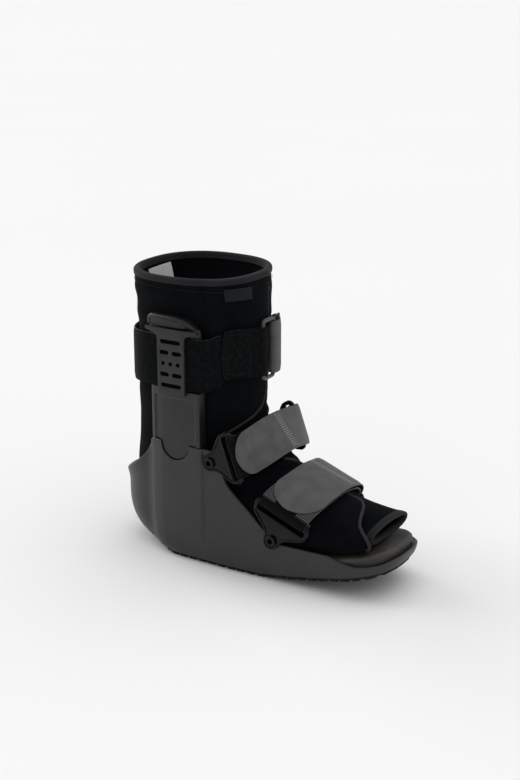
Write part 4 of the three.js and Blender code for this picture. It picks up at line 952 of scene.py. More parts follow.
def keeper(side, name):
    half = KEEPER_WIDTH / 2
    wing = UPRIGHT_WIDTH / 2 - 1
    foot = channel_foot - 1 - KEEPER_FOOT
    top = HEAD_BASE + KEEPER_LIP - GAP
    neck = top - KEEPER_LIP * 1.9
    outline = [(-half, foot), (half, foot)]
    outline += bezier((half, neck), (half, top - 5), (half + 4, top - 4.6), (wing - 1, top - 3.4), 8)
    outline += arc(wing - 1.6, top - 1.7, 1.7, -60, 90, 5) + arc(-wing + 1.6, top - 1.7, 1.7, 90, 240, 5)
    outline += bezier((-wing + 1, top - 3.4), (-half - 4, top - 4.6), (-half, top - 5), (-half, neck), 8)
    holes = []
    pair = (SLOT_LENGTH + 2) / 4 + 0.8
    for row in (-2, -1, 0, 1, 2):
        z = CALF_STRAP_HEIGHT + row * SLOT_ROW_PITCH
        if abs(row) == 2:
            holes.append(stadium(0, z, SLOT_LENGTH, SLOT_WIDTH))
        elif abs(row) == 1:
            holes += [stadium(x, z, SLOT_LENGTH / 2 - 1, SLOT_WIDTH) for x in (-pair, pair)]
        else:
            holes += [stadium(x, z, SLOT_WIDTH + 0.1, SLOT_WIDTH) for x in (-8.2, 0, 8.2)]
    shape = plate_mesh(outline, holes, KEEPER_THICKNESS, 0.45, cuts=spaced(-wing + 2, wing - 2, 22))

    def place(across, z, out):
        x = UPRIGHT_CENTRE + across
        bend = (channel_face(UPRIGHT_CENTRE) - channel_face(x)) * 0.85
        lift = 1.6 * ease(z, HEAD_BASE - 3, HEAD_BASE + 2)
        return x, side * (keeper_back + KEEPER_THICKNESS / 2 + out - bend + lift), z

    mesh = placed_plate(shape, place)
    return finished_piece(
        f"keeper_plate_{name}", mesh, [SHADED_UPRIGHT_PLASTIC], [f"strap_keeper_{name}"]
    )


# The liner's sections and points on it
leg_front = LEG_CENTRE + LEG_DEPTH / 2
leg_back = LEG_CENTRE - LEG_DEPTH / 2


def liner_sections():
    rows = []
    for front, front_height, back, back_height, width, power in LEG_SECTIONS:
        row = [leg_front + front * LEG_DEPTH, front_height * LINER_HEIGHT, leg_back + back * LEG_DEPTH]
        rows.append(row + [back_height * LINER_HEIGHT, width * LEG_WIDTH / 2, 0, power, power])
    for top, top_height, sole, width, shift, lift in FOOT_SECTIONS:
        rest = footbed_top(sole * SHELL_LENGTH) + 3 * GAP + lift * BINDING_THICKNESS
        row = [top * SHELL_LENGTH, top_height * LINER_HEIGHT, sole * SHELL_LENGTH, rest]
        rows.append(row + [width * LEG_WIDTH / 2, shift * LEG_WIDTH / 2, FOOT_TOP_POWER, FOOT_SOLE_POWER])
    return np.array(rows)


SECTIONS = liner_sections()
LAST_SECTION = len(SECTIONS) - 1


def section_at(number):
    """A section between two of the table's, on a smooth curve through its neighbours."""
    at = clamp(number, 0, LAST_SECTION)
    i = min(int(at), LAST_SECTION - 1)
    t = at - i
    before, here, after = SECTIONS[max(i - 1, 0)], SECTIONS[i], SECTIONS[i + 1]
    beyond = SECTIONS[min(i + 2, LAST_SECTION)]
    bend = 2 * before - 5 * here + 4 * after - beyond
    turn = 3 * (here - after) + beyond - before
    return 0.5 * (2 * here + (after - before) * t + bend * t * t + turn * t ** 3)


def liner_point(number, turn, offset):
    front_x, front_z, back_x, back_z, width, shift, front_power, sole_power = section_at(number)
    half_x, half_z = (front_x - back_x) / 2, (front_z - back_z) / 2
    cosine, sine = turned(turn)
    power = front_power if cosine > 0 else sole_power
    along = power_of(cosine, power) * (1 + offset / math.hypot(half_x, half_z))
    across = power_of(sine, power) * (width + offset)
    x = (front_x + back_x) / 2 + half_x * along
    return np.array((x, shift - across, (front_z + back_z) / 2 + half_z * along))


def wall_at(number):
    rim = RIM_WALL + (LINER_THICKNESS - RIM_WALL) * ease(number, 0, 0.7)
    return rim + (TOE_WALL - LINER_THICKNESS) * ease(number, len(LEG_SECTIONS) + 2, LAST_SECTION)


def leg_point(turn, z, offset):
    low, high = 0, len(LEG_SECTIONS) + 1
    for _ in range(16):
        middle = (low + high) / 2
        if liner_point(middle, turn, 0)[2] > z:
            low = middle
        else:
            high = middle
    return liner_point((low + high) / 2, turn, offset)


def softness(number, turn):
    """How far the padded cloth swells or folds at a place on the liner."""
    point = liner_point(number, turn, 0)
    side = abs(turned(turn)[1])
    front = max(turned(turn)[0], 0)
    above_strap = ease(point[2], 224, 236) * (1 - ease(point[2], 256, 270))
    swell = 1.6 * above_strap * (1 - 0.75 * ease(side, 0.75, 0.95))
    below_strap = ease(point[2], 110, 130) * (1 - ease(point[2], 158, 170))
    swell += 0.9 * below_strap * (1 - ease(side, 0.6, 0.85))
    swell += 0.5 * (1 - ease(number, 0.05, 0.6))
    folds = math.sin(number * 5.2 + 1.4 * wobble(point, 30, 2)) * front * ease(number, 5, 6.5)
    folds *= (1 - ease(number, 9.5, 11)) * 1.2
    lumps = wobble(point, 26, 1) * 0.9 * (1 - ease(side, 0.8, 0.97) * ease(point[2], 90, 120))
    return swell + folds + min(lumps, 0.35)


def liner():
    count = 112
    numbers = spaced(0, LAST_SECTION, 150)
    turns = [360 * i / count for i in range(count)]
    rings = [[liner_point(n, turn, softness(n, turn)) for turn in turns] for n in numbers]
    rings += [[liner_point(n, turn, -wall_at(n)) for turn in turns] for n in reversed(numbers)]
    mesh = mesh_of(*loft(rings, looped=True))
    piece = finished_piece("padded_liner", mesh, [LINER_CLOTH], ["liner"], 60)
    return piece


leg_flap_foot = curve_of(LEG_FLAP_EDGE)
leg_flap_top = LINER_HEIGHT - BINDING_WIDTH - GAP
rim_foot = LINER_HEIGHT - RIM_TAPE_WIDTH + 0.8


def leg_flap_thickness(turn):
    return 0.5 + (FLAP_THICKNESS - 0.5) * ease(LEG_FLAP_BACK - turn, 0, 14)


def leg_flap_offset(turn, z):
    thickness = leg_flap_thickness(turn)
    foot = leg_flap_foot(turn) * LINER_HEIGHT
    edge = min(z - foot, (turn - LEG_FLAP_FRONT) * 1.1)
    swell = 0.7 * ease(edge, 0, 9) * (1 - 0.6 * ease(z, 168, 176) * (1 - ease(z, 226, 236)))
    ripple = 0.5 * wobble((turn * 1.1, z, 0), 24, 5)
    return GAP + thickness + swell + ripple * ease(edge, 0, 8)


def leg_flap():
    rings = []
    for turn in spaced(LEG_FLAP_FRONT, LEG_FLAP_BACK, 54):
        foot = leg_flap_foot(turn) * LINER_HEIGHT
        levels = [foot + (rim_foot - foot) * s for s in [0, 0.004, 0.012, 0.03] + spaced(0.06, 1, 44)]
        outer = [
            leg_point(turn, z, leg_flap_offset(turn, z) - edge_round(z - foot, FLAP_EDGE_ROUNDING))
            for z in levels
        ]
        rings.append(outer + [leg_point(turn, z, GAP * 0.5) for z in reversed(levels)])
    mesh = mesh_of(*loft(rings, strip_faces))
    piece = finished_piece("leg_flap_panel", mesh, [LINER_CLOTH], ["leg_flap"], 60)
    return piece


def sweep(points, outs, radius, sides=10, squash=1.0, looped=False):
    """A round tube through points, each with a direction out of the cloth."""
    rings = []
    count = len(points)
    for i, point in enumerate(points):
        before = points[i - 1] if looped or i else point
        after = points[(i + 1) % count] if looped or i + 1 < count else point
        tangent = unit(np.subtract(after, before))
        aside = unit(np.cross(tangent, outs[i]))
        out = np.cross(aside, tangent)
        ring = []
        for a in range(sides):
            cosine, sine = turned(360 * a / sides)
            ring.append(point + out * radius * squash * cosine + aside * radius * sine)
        rings.append(ring)
    return loft(rings, None if looped else fan_faces, looped)


def edge_roll(places, radius=EDGE_ROLL):
    """A rolled binding beside a flap's edge, whose places are functions of the offset off the liner."""
    edge = [place(FLAP_THICKNESS / 2) for place in places]
    outs = [unit(place(FLAP_THICKNESS / 2 + 1) - p) for place, p in zip(places, edge)]
    points = []
    for i, point in enumerate(edge):
        tangent = edge[min(i + 1, len(edge) - 1)] - edge[max(i - 1, 0)]
        points.append(point + unit(np.cross(tangent, outs[i])) * radius * 0.75)
    return sweep(points, outs, radius, squash=1.15)


def leg_flap_binding():
    places = [
        lambda offset, t=turn: leg_point(t, leg_flap_foot(t) * LINER_HEIGHT, GAP + offset)
        for turn in spaced(LEG_FLAP_BACK - 6, LEG_FLAP_FRONT, 44)
    ]
    foot = leg_flap_foot(LEG_FLAP_FRONT) * LINER_HEIGHT
    places += [
        lambda offset, h=z: leg_point(LEG_FLAP_FRONT, h, GAP + offset)
        for z in spaced(foot + 3, leg_flap_top - 1, 30)
    ]
    mesh = mesh_of(*edge_roll(places))
    return finished_piece("leg_flap_edge", mesh, [EDGE_TAPE], ["leg_flap_binding"])


flap_over, flap_under, flap_lift = (curve_of(FOOT_FLAP, column) for column in (1, 2, 3))
flap_start, flap_end = FOOT_FLAP[0][0], FOOT_FLAP[-1][0]


def foot_flap_point(number, share, offset):
    """A place on the foot flap, which stands off the liner at the toe and hangs forward there."""
    turn = flap_over(number) + (flap_under(number) - flap_over(number)) * share
    standing = math.sin(math.pi * clamp(1 - share, 0, 1) * 0.62) ** 1.2
    lift = FLAP_THICKNESS * flap_lift(number) * standing + FLAP_CLEARANCE * 1.5 * ease(turn, 70, 100)
    lift *= 1 - 0.6 * ease(number, 15.5, flap_end)
    point = liner_point(number, turn, FLAP_CLEARANCE + lift + offset)
    forward = FOOT_FLAP_FORWARD * ease(number, 15.38, 15.7) * (1 - ease(share, 0.1, 0.95) * 0.85)
    return point + np.array((forward, 0, 0))


def foot_flap_edge_distance(number, share):
    return min(share * FOOT_FLAP_BREADTH, (flap_end - number) * FOOT_SECTION_PITCH)


def foot_flap_swell(number, share):
    edge = foot_flap_edge_distance(number, share)
    pleats = math.sin(number * 9 + share * 3) * (1 - ease(number, 11.2, 12.4)) * (1 - ease(share, 0.3, 0.7))
    point = foot_flap_point(number, share, 0)
    return ease(edge, 0, 9) * (0.7 + 0.9 * pleats + 0.7 * wobble(point, 20, 8))


def foot_flap():
    shares = [0, 0.004, 0.015, 0.04] + spaced(0.07, 0.97, 46) + [0.99, 1]
    rings = []
    for number in spaced(flap_start, flap_end, 84):
        outer = []
        for share in shares:
            fallen = edge_round(foot_flap_edge_distance(number, share), FLAP_EDGE_ROUNDING)
            outer.append(
                foot_flap_point(number, share, FLAP_THICKNESS + foot_flap_swell(number, share) - fallen)
            )
        rings.append(outer + [foot_flap_point(number, share, 0) for share in reversed(shares)])
    mesh = mesh_of(*loft(rings, strip_faces))
    piece = finished_piece("foot_flap_panel", mesh, [FLAP_CLOTH], ["foot_flap"], 60)
    return piece


def foot_flap_binding():
    places = [lambda offset, s=share: foot_flap_point(flap_end, s, offset) for share in spaced(0.97, 0, 40)]
    places += [
        lambda offset, n=number: foot_flap_point(n, 0, offset)
        for number in spaced(flap_end, flap_start, 60)[1:]
    ]
    mesh = mesh_of(*edge_roll(places, EDGE_ROLL * 1.05))
    return finished_piece("foot_flap_edge", mesh, [EDGE_TAPE], ["foot_flap_binding"])


def end_binding(piece_name, node, number, reach, direction, extra):
    """A binding folded over an open end of the liner, round the whole opening.

    It reaches along the liner by some sections and rolls out in a direction. extra is its thickness
    over a flap."""
    clear = GAP * 0.5
    wall = wall_at(number)
    inward = wall + clear + BINDING_THICKNESS
    rings = []
    for turn in spaced(0, 360, 144)[:-1]:
        outward = clear + BINDING_THICKNESS * 0.4 + extra(turn)
        middle, half = (outward - inward) / 2, (outward + inward) / 2
        ring = [
            liner_point(number + reach * s, turn, outward * f)
            for s, f in ((1, 0.5), (0.98, 0.85), (0.5, 1.05))
        ]
        for a in spaced(0, 180, 12):
            cosine, sine = turned(a)
            rolled = np.array(direction) * BINDING_ROLL * sine
            ring.append(liner_point(number, turn, middle + half * cosine) + rolled)
        ring += [
            liner_point(number + reach * s, turn, -wall_at(number + reach * s) - f)
            for s, f in ((0.5, 1.9), (1, 1.5), (1, 0.2))
        ]
        ring.append(liner_point(number + reach * 0.5, turn, -wall / 2))
        rings.append(ring)
    mesh = mesh_of(*loft(rings, looped=True))
    return finished_piece(piece_name, mesh, [RIM_TAPE], [node], 60)


def end_bindings():
    def flap_extra(turn):
        signed = turn - 360 if turn > 180 else turn
        fade = 1 - ease(signed, LEG_FLAP_BACK - 12, LEG_FLAP_BACK + 2)
        return FLAP_THICKNESS * ease(signed, LEG_FLAP_FRONT - 12, LEG_FLAP_FRONT) * fade

    top_reach = RIM_TAPE_WIDTH / (liner_point(0, 90, 0)[2] - liner_point(1, 90, 0)[2])
    end_binding("rim_binding", "top_binding", 0, top_reach, (0, 0, 1), flap_extra)
    toe_reach = TOE_TAPE_WIDTH / (FOOT_SECTIONS[-1][0] - FOOT_SECTIONS[-2][0]) / SHELL_LENGTH
    end_binding("toe_edge_binding", "toe_binding", LAST_SECTION, -toe_reach, (1, 0, 0), lambda turn: 0)


def leg_strip(name, node, turns, heights, offset, thickness, finish, tilt=0, skew=0):
    """A patch on the leg's surface between two turns and two heights.

    tilt raises it by millimetres to a degree, and skew turns it by degrees to a millimetre below its top."""
    middle = sum(turns) / 2
    rings = []
    for turn in spaced(*turns, 20):
        lean = (turn - middle) * tilt
        levels = [z + lean for z in spaced(*heights, 24)]
        places = [(turn + (heights[1] - z) * skew, z) for z in levels]
        outer = [leg_point(*place, offset + thickness) for place in places]
        rings.append(outer + [leg_point(*place, offset) for place in reversed(places)])
    return finished_piece(name, mesh_of(*loft(rings, strip_faces)), [finish], [node])


# Straps
def ribbon(path, across_at, half_widths, two_faced=True):
    """A strap along a path. If it is two-faced, the face away from its normal takes the second finish."""
    steps = 10
    half_thick = STRAP_THICKNESS / 2
    path = [np.array(p) for p in path]
    rings, weave = [], []
    length = 0
    for i, point in enumerate(path):
        length += np.linalg.norm(point - path[i - 1]) if i else 0
        across = np.array(across_at(point))
        tangent = path[min(i + 1, len(path) - 1)] - path[max(i - 1, 0)]
        normal = unit(np.cross(tangent, across))
        row = []
        for s in spaced(1, -1, steps):
            thin = 1 - 0.55 * ease(abs(s), 0.9, 1)
            lift = STRAP_WAVE * wobble(point + across * s * 20, 18, 3) * ease(abs(s), 0.3, 1)
            row.append((s, lift + half_thick * thin, lift - half_thick * thin))
        ring = [point + across * s * half_widths[i] + normal * up for s, up, _ in row]
        ring += [point + across * s * half_widths[i] + normal * down for s, _, down in reversed(row)]
        rings.append(ring)
        places = [s * half_widths[i] for s, _, _ in row]
        weave += [(length, p) for p in places] + [(length, p) for p in reversed(places)]
    points, faces = loft(rings, strip_faces)
    count = 2 * (steps + 1)
    second = [1 if steps <= (face[0] % count) < count - 1 else 0 for face in faces]
    return mesh_of(points, faces, weave, second if two_faced else None)


def rounded_widths(path, half, round_start, round_end):
    lengths = [0]
    for first, second in zip(path, path[1:]):
        lengths.append(lengths[-1] + math.dist(first, second))

    def narrowed(distance, radius):
        if not radius or distance >= radius:
            return 1
        return math.sqrt(max(1 - ((radius - distance) / radius) ** 2, 0.02))

    def width(s):
        start, end = narrowed(s, round_start), narrowed(lengths[-1] - s, round_end)
        return half * min(start, end)

    return [width(s) for s in lengths]


def calf_point(turn, offset, lift=0):
    cosine, sine = turned(turn)
    under = FLAP_THICKNESS + 2 * GAP if cosine > 0 else 2 * GAP
    depth = LEG_DEPTH / 2 + under + STRAP_THICKNESS / 2 + offset
    width = channel_face(UPRIGHT_CENTRE) + 2.8 * GAP + STRAP_THICKNESS / 2 + offset
    x = LEG_CENTRE + depth * power_of(cosine, CALF_STRAP_POWER)
    y = -width * power_of(sine, CALF_STRAP_POWER)
    rise = CALF_STRAP_LIFT * ease(x, upright_front, LEG_CENTRE + LEG_DEPTH / 2)
    drop = CALF_STRAP_LIFT * 0.25 * ease(upright_back - x, 0, upright_back - LEG_CENTRE + LEG_DEPTH / 2)
    return np.array((x, y, CALF_STRAP_HEIGHT + rise - drop + lift))


wrap_radius = RING_WIRE / 2 + GAP + STRAP_THICKNESS / 2 + 0.3
layer_step = STRAP_THICKNESS * 1.25


def wrap_points(centre, outward, forward):
    """A strap's turn round the ring's wire."""
    points = []
    for a in spaced(75, -75, 12):
        cosine, sine = turned(a)
        points.append(centre + (outward * sine + forward * cosine) * wrap_radius)
    return points


def ring_bar(turn):
    tangent = unit(calf_point(turn + 1, wrap_radius) - calf_point(turn - 1, wrap_radius))
    outward = np.cross(tangent, (0, 0, 1))
    return calf_point(turn, wrap_radius), outward * math.copysign(1, outward[0]), tangent


def straight_up(point):
    return (0, 0, 1)


def calf_strap():
    inner = [calf_point(turn, 0) for turn in spaced(CALF_STRAP_END, 360 + RING_FAR_TURN - 3, 150)]
    centre, outward, forward = ring_bar(RING_FAR_TURN)
    wrap = wrap_points(centre, -outward, forward)
    turns = spaced(360 + RING_FAR_TURN - 3, 360 + CALF_RETURN_END, 30)
    outer = [calf_point(t, layer_step + (wrap_radius * 2 - layer_step) * ease(t, 335, 350)) for t in turns]
    path = inner + wrap + outer
    widths = rounded_widths(path, CALF_STRAP_WIDTH / 2, *CALF_STRAP_ROUNDING)
    mesh = ribbon(path, straight_up, widths)
    return finished_piece("calf_band", mesh, [GREY_FACE, LOOP_FACE], ["calf_strap"], 50)


def tab_offset(turn):
    near_ring = 1 - ease(turn, RING_NEAR_TURN, RING_NEAR_TURN + 16)
    return layer_step + (wrap_radius * 2 - layer_step) * near_ring


def tab_lift(turn):
    return CALF_TAB_LIFT * ease(turn, RING_NEAR_TURN + 4, CALF_STRAP_END)


def calf_tab():
    centre, outward, forward = ring_bar(RING_NEAR_TURN)
    outer = [
        calf_point(turn, tab_offset(turn), tab_lift(turn))
        for turn in spaced(CALF_TAB_START, RING_NEAR_TURN + 3, 44)
    ]
    wrap = wrap_points(centre, outward, -forward)
    turns = spaced(RING_NEAR_TURN + 3, CALF_STRAP_END - 3, 40)
    inner = [calf_point(turn, 0, tab_lift(turn)) for turn in turns]
    path = outer + wrap + inner
    widths = rounded_widths(path, CALF_TAB_WIDTH / 2, CALF_TAB_ROUNDING, 0)
    mesh = ribbon(path, straight_up, widths, two_faced=False)
    finished_piece("ring_tab", mesh, [LOOP_FACE], ["calf_ring_tab"], 50)


def calf_ring():
    near, far = ring_bar(RING_NEAR_TURN)[0], ring_bar(RING_FAR_TURN)[0]
    middle = (near + far) / 2
    across = unit(far - near)
    up = np.array((0, 0, 1))
    out = np.cross(across, up)
    half = (np.linalg.norm(far - near) / 2, CALF_STRAP_WIDTH / 2 + RING_WIRE / 2 + 1)
    outline = window(0, 0, *half, RING_WIRE * 0.8)
    points = [middle + across * a + up * b for a, b in outline]
    shape = sweep(points, [out] * len(points), RING_WIRE / 2, 14, looped=True)
    finished_piece("strap_ring", mesh_of(*shape), [RING_PLASTIC], ["calf_ring"], 60)


class StrapFrame:
    """The frame that a foot strap shares with its two brackets: pivot, slope, twist and the brackets' lean.

    The strap sways forward by some millimetres where it crosses the foot."""

    def __init__(self, pivot, slope, twist, slot_half, top, lean, sway, end):
        self.pivot = pivot
        self.slope = slope
        self.twist = twist
        self.slot_half = slot_half
        self.top = top
        self.lean = lean
        self.end = end
        self.sway = np.array((sway, 0, -0.45 * sway))
        relief = pocket_relief(pivot[0] - BRACKET_BOSS, pivot[1])
        self.plate = shell_half_width(pivot[0]) + relief + GAP + BRACKET_THICKNESS / 2
        self.bar = BRACKET_REACH + BRACKET_SLOT / 2 + BRACKET_BAR / 2
        self.bar_out = self.plate - self.bar * turned(lean)[1]

    def share(self, out):
        return max(1 - (out / self.plate) ** 2, 0) ** 1.5

    def sloped(self, degrees):
        return np.array((turned(degrees)[0], 0, turned(degrees)[1]))

    def point(self, out, reach):
        direction = self.sloped(self.slope + self.twist * self.share(out) * 0.35)
        return np.array((self.pivot[0], out, self.pivot[1])) + direction * reach + self.sway * self.share(out)

    def across(self, point):
        return self.sloped(self.slope + self.twist * self.share(point[1]) - 90)


ANKLE = StrapFrame(
    pivot=(127, 107.3), slope=20, twist=19.5, slot_half=INSTEP_STRAP_WIDTH / 2,
    top=45.5, lean=5, sway=0, end=9,
)
TOE = StrapFrame(
    pivot=(193, 43.3), slope=68.8, twist=4, slot_half=TOE_STRAP_WIDTH / 2,
    top=55, lean=9, sway=6, end=17.5,
)


def bracket_outline(strap):
    half = strap.slot_half + 1
    outer = half + BRACKET_BAR
    low = BRACKET_REACH - BRACKET_SLOT / 2
    top = BRACKET_REACH + BRACKET_SLOT / 2 + BRACKET_BAR
    corner = BRACKET_BAR + 1.5
    boss = BRACKET_BOSS
    flank = bezier((boss, 0), (boss + 1, 9), (outer - corner, low - 9), (outer - 1.5, low - 2), 14)[1:]
    outline = arc(0, 0, boss, 184, 356, 20) + flank
    outline += arc(outer - corner, top - corner, corner, -10, 90, 10)
    outline += arc(-outer + corner, top - corner, corner, 90, 190, 10)
    return outline + [(-x, y) for x, y in reversed(flank)]


def inset_path(path, inset):
    """A closed path drawn in towards its inside."""
    result = []
    for i, (x, y) in enumerate(path):
        before, after = path[i - 1], path[(i + 1) % len(path)]
        dx, dy = after[0] - before[0], after[1] - before[1]
        length = math.hypot(dx, dy) or 1
        result.append((x - dy / length * inset, y + dx / length * inset))
    return result


def bracket(strap, side, node):
    outline = bracket_outline(strap)
    half = strap.slot_half + 1
    slot = window(0, BRACKET_REACH, half, BRACKET_SLOT / 2, 1.6)
    hole = arc(0, 0, RIVET_RADIUS * 0.55 + GAP, 0, 352.5, 47)
    lean = math.radians(strap.lean)
    reach_way, along_way = strap.sloped(strap.slope), strap.sloped(strap.slope - 90)

    def place(along, reach, out):
        flat = reach * math.cos(lean) + out * math.sin(lean)
        far = strap.plate + out * math.cos(lean) - reach * math.sin(lean)
        point = along_way * along + reach_way * flat
        return strap.pivot[0] + point[0], side * far, strap.pivot[1] + point[2]

    mesh = placed_plate(plate_mesh(outline, [slot, hole], BRACKET_THICKNESS - 0.8, 0.5), place)
    face = BRACKET_THICKNESS / 2 - 0.5
    beads = []
    for path in (inset_path(outline, 1.3), inset_path(slot, -1.2)):
        spine = [np.array(place(x, y, face)) for x, y in path]
        outs = [np.array(place(x, y, face + 1)) - p for (x, y), p in zip(path, spine)]
        beads.append(sweep(spine, outs, 1.1, 8, looped=True))
    raised = mesh_of(*joined(*beads))
    shape = bmesh.new()
    shape.from_mesh(mesh)
    shape.from_mesh(raised)
    shape.to_mesh(mesh)
    shape.free()
    return finished_piece(f"{node}_plate", mesh, [BRACKET_PLASTIC], [node])


def rivet(strap, side, node):
    """A hollow rivet with a domed collar."""
    shank = RIVET_RADIUS * 0.55
    depth = BRACKET_THICKNESS + GAP
    base = depth + GAP
    profile = [(0, GAP), (shank, GAP), (shank, base), (RIVET_RADIUS, base), (RIVET_RADIUS, base + 0.4)]
    for a in spaced(0, 90, 6):
        cosine, sine = turned(a)
        profile.append((RIVET_RADIUS - 1.4 + 1.4 * cosine, base + 0.4 + (RIVET_HEAD - 0.4) * sine))
    profile += [(RIVET_HOLE + 0.6, base + RIVET_HEAD), (RIVET_HOLE + 0.2, base + RIVET_HEAD - 0.3)]
    profile += [(RIVET_HOLE, base + 0.4), (RIVET_HOLE * 0.8, depth * 0.5), (0.01, depth * 0.5)]
    start = shell_half_width(strap.pivot[0])
    rings = []
    for radius, out in profile:
        ring = []
        for a in spaced(0, 360, 36)[:-1]:
            cosine, sine = turned(a)
            x, z = strap.pivot[0] + max(radius, 0.01) * cosine, strap.pivot[1] + max(radius, 0.01) * sine
            ring.append((x, side * (start + out), z))
        rings.append(ring)
    shape = loft(rings, fan_faces)
    finished_piece(f"{node}_head", mesh_of(*shape), [BRACKET_PLASTIC], [node])


def arch_points(strap, start, end, top, turns):
    middle, half = (start + end) / 2, (end - start) / 2
    base = strap.bar + BRACKET_BAR * 0.7
    points = []
    for turn in turns:
        cosine, sine = turned(turn)
        out = middle - half * power_of(cosine, STRAP_ARCH_POWER)
        points.append(strap.point(out, base + (top - base) * power_of(sine, STRAP_ARCH_POWER)))
    return points


bar_wrap = BRACKET_BAR / 2 + GAP + STRAP_THICKNESS / 2 + 0.2
over_step = STRAP_THICKNESS * 1.2


def over_points(strap, turns):
    """The outer layer of a foot strap, which comes back from the left bracket over the inner one."""
    ends = (-strap.bar_out - bar_wrap - over_step, strap.bar_out + bar_wrap)
    return arch_points(strap, *ends, strap.top + over_step, turns)


def foot_strap_path(strap):
    right, left = -strap.bar_out, strap.bar_out

    def under(centre, side):
        return [
            strap.point(centre + side * bar_wrap * turned(a)[0], strap.bar - bar_wrap * turned(a)[1])
            for a in spaced(20, 160, 10)
        ]

    tail = [strap.point(right + bar_wrap, strap.bar + d) for d in spaced(3, 0, 3)]
    base = arch_points(strap, right - bar_wrap, left - bar_wrap, strap.top, spaced(0, 180, 72))
    over = over_points(strap, spaced(180, strap.end, 70))
    return tail + under(right, 1) + base + under(left, -1) + over


def foot_strap(strap, piece_name, node, end_round, base_finish):
    path = foot_strap_path(strap)
    widths = rounded_widths(path, strap.slot_half, 0, end_round)
    mesh = ribbon(path, strap.across, widths)
    return finished_piece(piece_name, mesh, [GREY_FACE, base_finish], [node], 50)


def stitches(name, places, finish, length=2.2, width=0.55):
    """Single stitches lying on a surface: each place is its middle, its direction and the way out."""
    rings_at = [(-1, 0.25), (-0.7, 0.8), (0, 1), (0.7, 0.8), (1, 0.25)]
    shapes = []
    for middle, along, out in places:
        along = unit(along)
        aside = unit(np.cross(along, out))
        up = np.cross(aside, along)
        rings = []
        for s, wide in rings_at:
            centre = middle + along * s * length / 2 + up * width * 0.4 * (1 - s * s)
            ring = []
            for a in range(6):
                cosine, sine = turned(60 * a)
                ring.append(centre + (aside * cosine + up * sine) * width * 0.5 * wide)
            rings.append(ring)
        shapes.append(loft(rings, fan_faces))
    return finished_piece(name, mesh_of(*joined(*shapes)), [finish])


def seam(surface, start, end, pitch=3.2):
    """Stitch places along a straight line in a surface's two parameters."""
    start, end = np.array(start), np.array(end)

    def at(t, lift=1):
        return surface(*(start + (end - start) * t), lift)

    samples = [at(t) for t in spaced(0, 1, 40)]
    total = sum(math.dist(a, b) for a, b in zip(samples, samples[1:]))
    count = max(int(total / pitch), 1)
    places = []
    for i in range(count):
        t = (i + 0.5) / count
        here = at(t)
        places.append((here, at(t + 0.01) - here, at(t, 2) - here))
    return places


def rim_seam():
    def surface(turn, z, lift):
        signed = turn - 360 if turn > 180 else turn
        if LEG_FLAP_FRONT < signed < LEG_FLAP_BACK:
            return leg_point(turn, z, leg_flap_offset(signed, z) + lift)
        return leg_point(turn, z, lift + 0.4)

    z = LINER_HEIGHT - BINDING_WIDTH - 1.6
    places = []
    for turn in spaced(0, 360, 118)[:-1]:
        here = surface(turn, z, 0)
        places.append((here, surface(turn + 1, z, 0) - here, surface(turn, z, 1) - here))
    stitches("rim_stitches", places, BLACK_THREAD, 2.4)


def tab_seams():
    def surface(turn, z, lift):
        return calf_point(turn, tab_offset(turn) + STRAP_THICKNESS / 2 + lift - 1, tab_lift(turn) + z)

    high = CALF_TAB_WIDTH / 2 - STITCH_MARGIN
    low = -high
    first, last = 41, 18
    corners = [(first, low), (first, high), (last, high), (last, low)]
    places = []
    for start, end in [(0, 1), (1, 2), (2, 3), (3, 0), (0, 2), (1, 3)]:
        places += seam(surface, corners[start], corners[end])
    places += seam(surface, (first + 2.5, low - 2), (first + 2.5, high + 2))
    stitches("tab_stitches", places, BLACK_THREAD)


def strap_seams(strap, name, turns):
    def surface(turn, across, lift):
        here, after = over_points(strap, [turn, turn - 1])
        way = strap.across(here)
        out = unit(np.cross(after - here, way))
        return here + way * across + out * (STRAP_THICKNESS / 2 + lift - 1)

    half = strap.slot_half - 2
    places = []
    for turn in turns:
        places += seam(surface, (turn, -half), (turn, half), 2.2)
    stitches(name, places, GREY_THREAD, 1.3, 0.7)


# Light, floor and camera
def floor():
    finish = Finish("floor paper", 0.9, Specular_IOR_Level=0.1)
    shade = finish.mix(finish.noise(900, 2), (0.9, 0.9, 0.9), (0.93, 0.93, 0.93))
    finish.paint(shade)
    mesh = bpy.data.meshes.new("floor")
    corners = [(x * FLOOR_HALF, y * FLOOR_HALF, 0) for x, y in ((-1, -1), (1, -1), (1, 1), (-1, 1))]
    mesh.from_pydata(corners, [], [(0, 1, 2, 3)])
    mesh.materials.append(finish.material)
    piece = bpy.data.objects.new("floor", mesh)
    bpy.context.scene.collection.objects.link(piece)


def soft_sun(name, direction, spread, strength):
    """A far, wide light that falls evenly on the whole floor; its direction points to the light."""
    light = bpy.data.lights.new(name, "SUN")
    light.angle = math.radians(spread)
    light.energy = strength
    lamp = bpy.data.objects.new(name, light)
    lamp.rotation_euler = Vector(direction).to_track_quat("Z", "Y").to_euler()
    bpy.context.scene.collection.objects.link(lamp)


def studio():
    world = bpy.data.worlds.new("studio")
    world.use_nodes = True
    world.node_tree.nodes["Background"].inputs["Color"].default_value = (1, 1, 1, 1)
    world.node_tree.nodes["Background"].inputs["Strength"].default_value = WORLD_LIGHT
    bpy.context.scene.world = world
    bpy.context.scene.view_settings.view_transform = "Standard"
    for sun in SUNS:
        soft_sun(*sun)


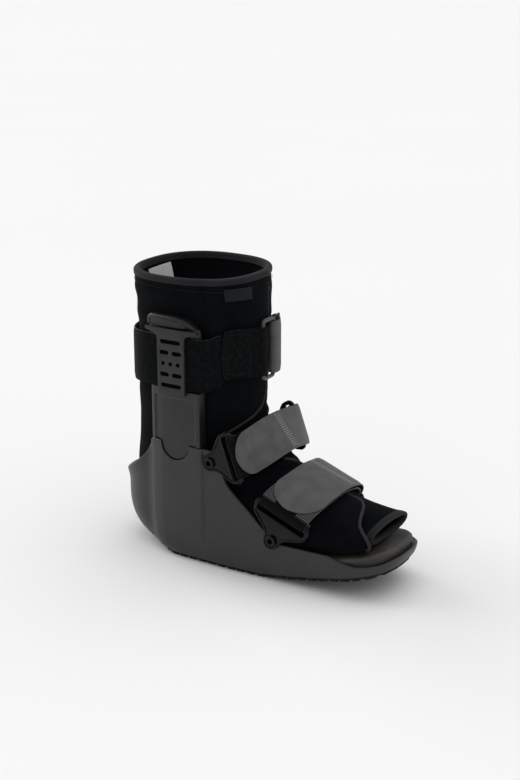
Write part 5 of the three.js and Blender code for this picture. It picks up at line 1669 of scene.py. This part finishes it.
def camera():
    data = bpy.data.cameras.new("camera")
    data.lens = CAMERA_LENS
    data.sensor_width = CAMERA_SENSOR
    eye = bpy.data.objects.new("camera", data)
    eye.location = CAMERA_PLACE
    eye.rotation_euler = (CAMERA_TARGET - CAMERA_PLACE).to_track_quat("-Z", "Y").to_euler()
    bpy.context.scene.collection.objects.link(eye)
    bpy.context.scene.camera = eye


camera()
studio()
floor()
shell()
outsole()
footbed()
liner()
leg_flap()
foot_flap()
end_bindings()
leg_flap_binding()
foot_flap_binding()
for name, side in (("right", -1), ("left", 1)):
    upright(side, name)
    keeper(side, name)
    for strap, place in ((ANKLE, "ankle"), (TOE, "toe")):
        bracket(strap, side, f"{place}_bracket_{name}")
        rivet(strap, side, f"{place}_rivet_{name}")
leg_strip(
    "closure_tape", "front_closure_tape", (-12, -19), (0.635 * LINER_HEIGHT, 0.945 * LINER_HEIGHT),
    GAP, TAPE_THICKNESS, CLOSURE_TAPE,
)
outer_label = leg_strip(
    "outer_label_tab", "outer_label", (40, 12), (leg_flap_top - 10.8, leg_flap_top + 0.7),
    FLAP_THICKNESS + 3 * GAP + 0.6, LABEL_THICKNESS, OUTER_LABEL_CLOTH, tilt=0.02,
)
inner_label = leg_strip(
    "inner_label_ribbon", "inner_label", (168, 198), (leg_flap_top - 15, leg_flap_top + 1.6),
    -LINER_THICKNESS - 2 * GAP - LABEL_THICKNESS, LABEL_THICKNESS, LABEL_SATIN,
    tilt=0.05, skew=0.35,
)
calf_strap()
calf_tab()
calf_ring()
foot_strap(ANKLE, "instep_band", "instep_strap", INSTEP_STRAP_ROUNDING, LOOP_FACE)
TOE_BASE = dotted_mesh(
    "dotted base", (0.004, 0.004, 0.0042), (0.16, 0.16, 0.16), TOE.slot_half, *DOTTED_STRETCH
)
foot_strap(TOE, "toe_band", "toe_strap", TOE_STRAP_ROUNDING, TOE_BASE)
rim_seam()
tab_seams()
strap_seams(ANKLE, "instep_stitches", (96, 98.5, 101, 103.5, 106))
strap_seams(TOE, "toe_stitches", (106, 108.5, 111, 113.5))
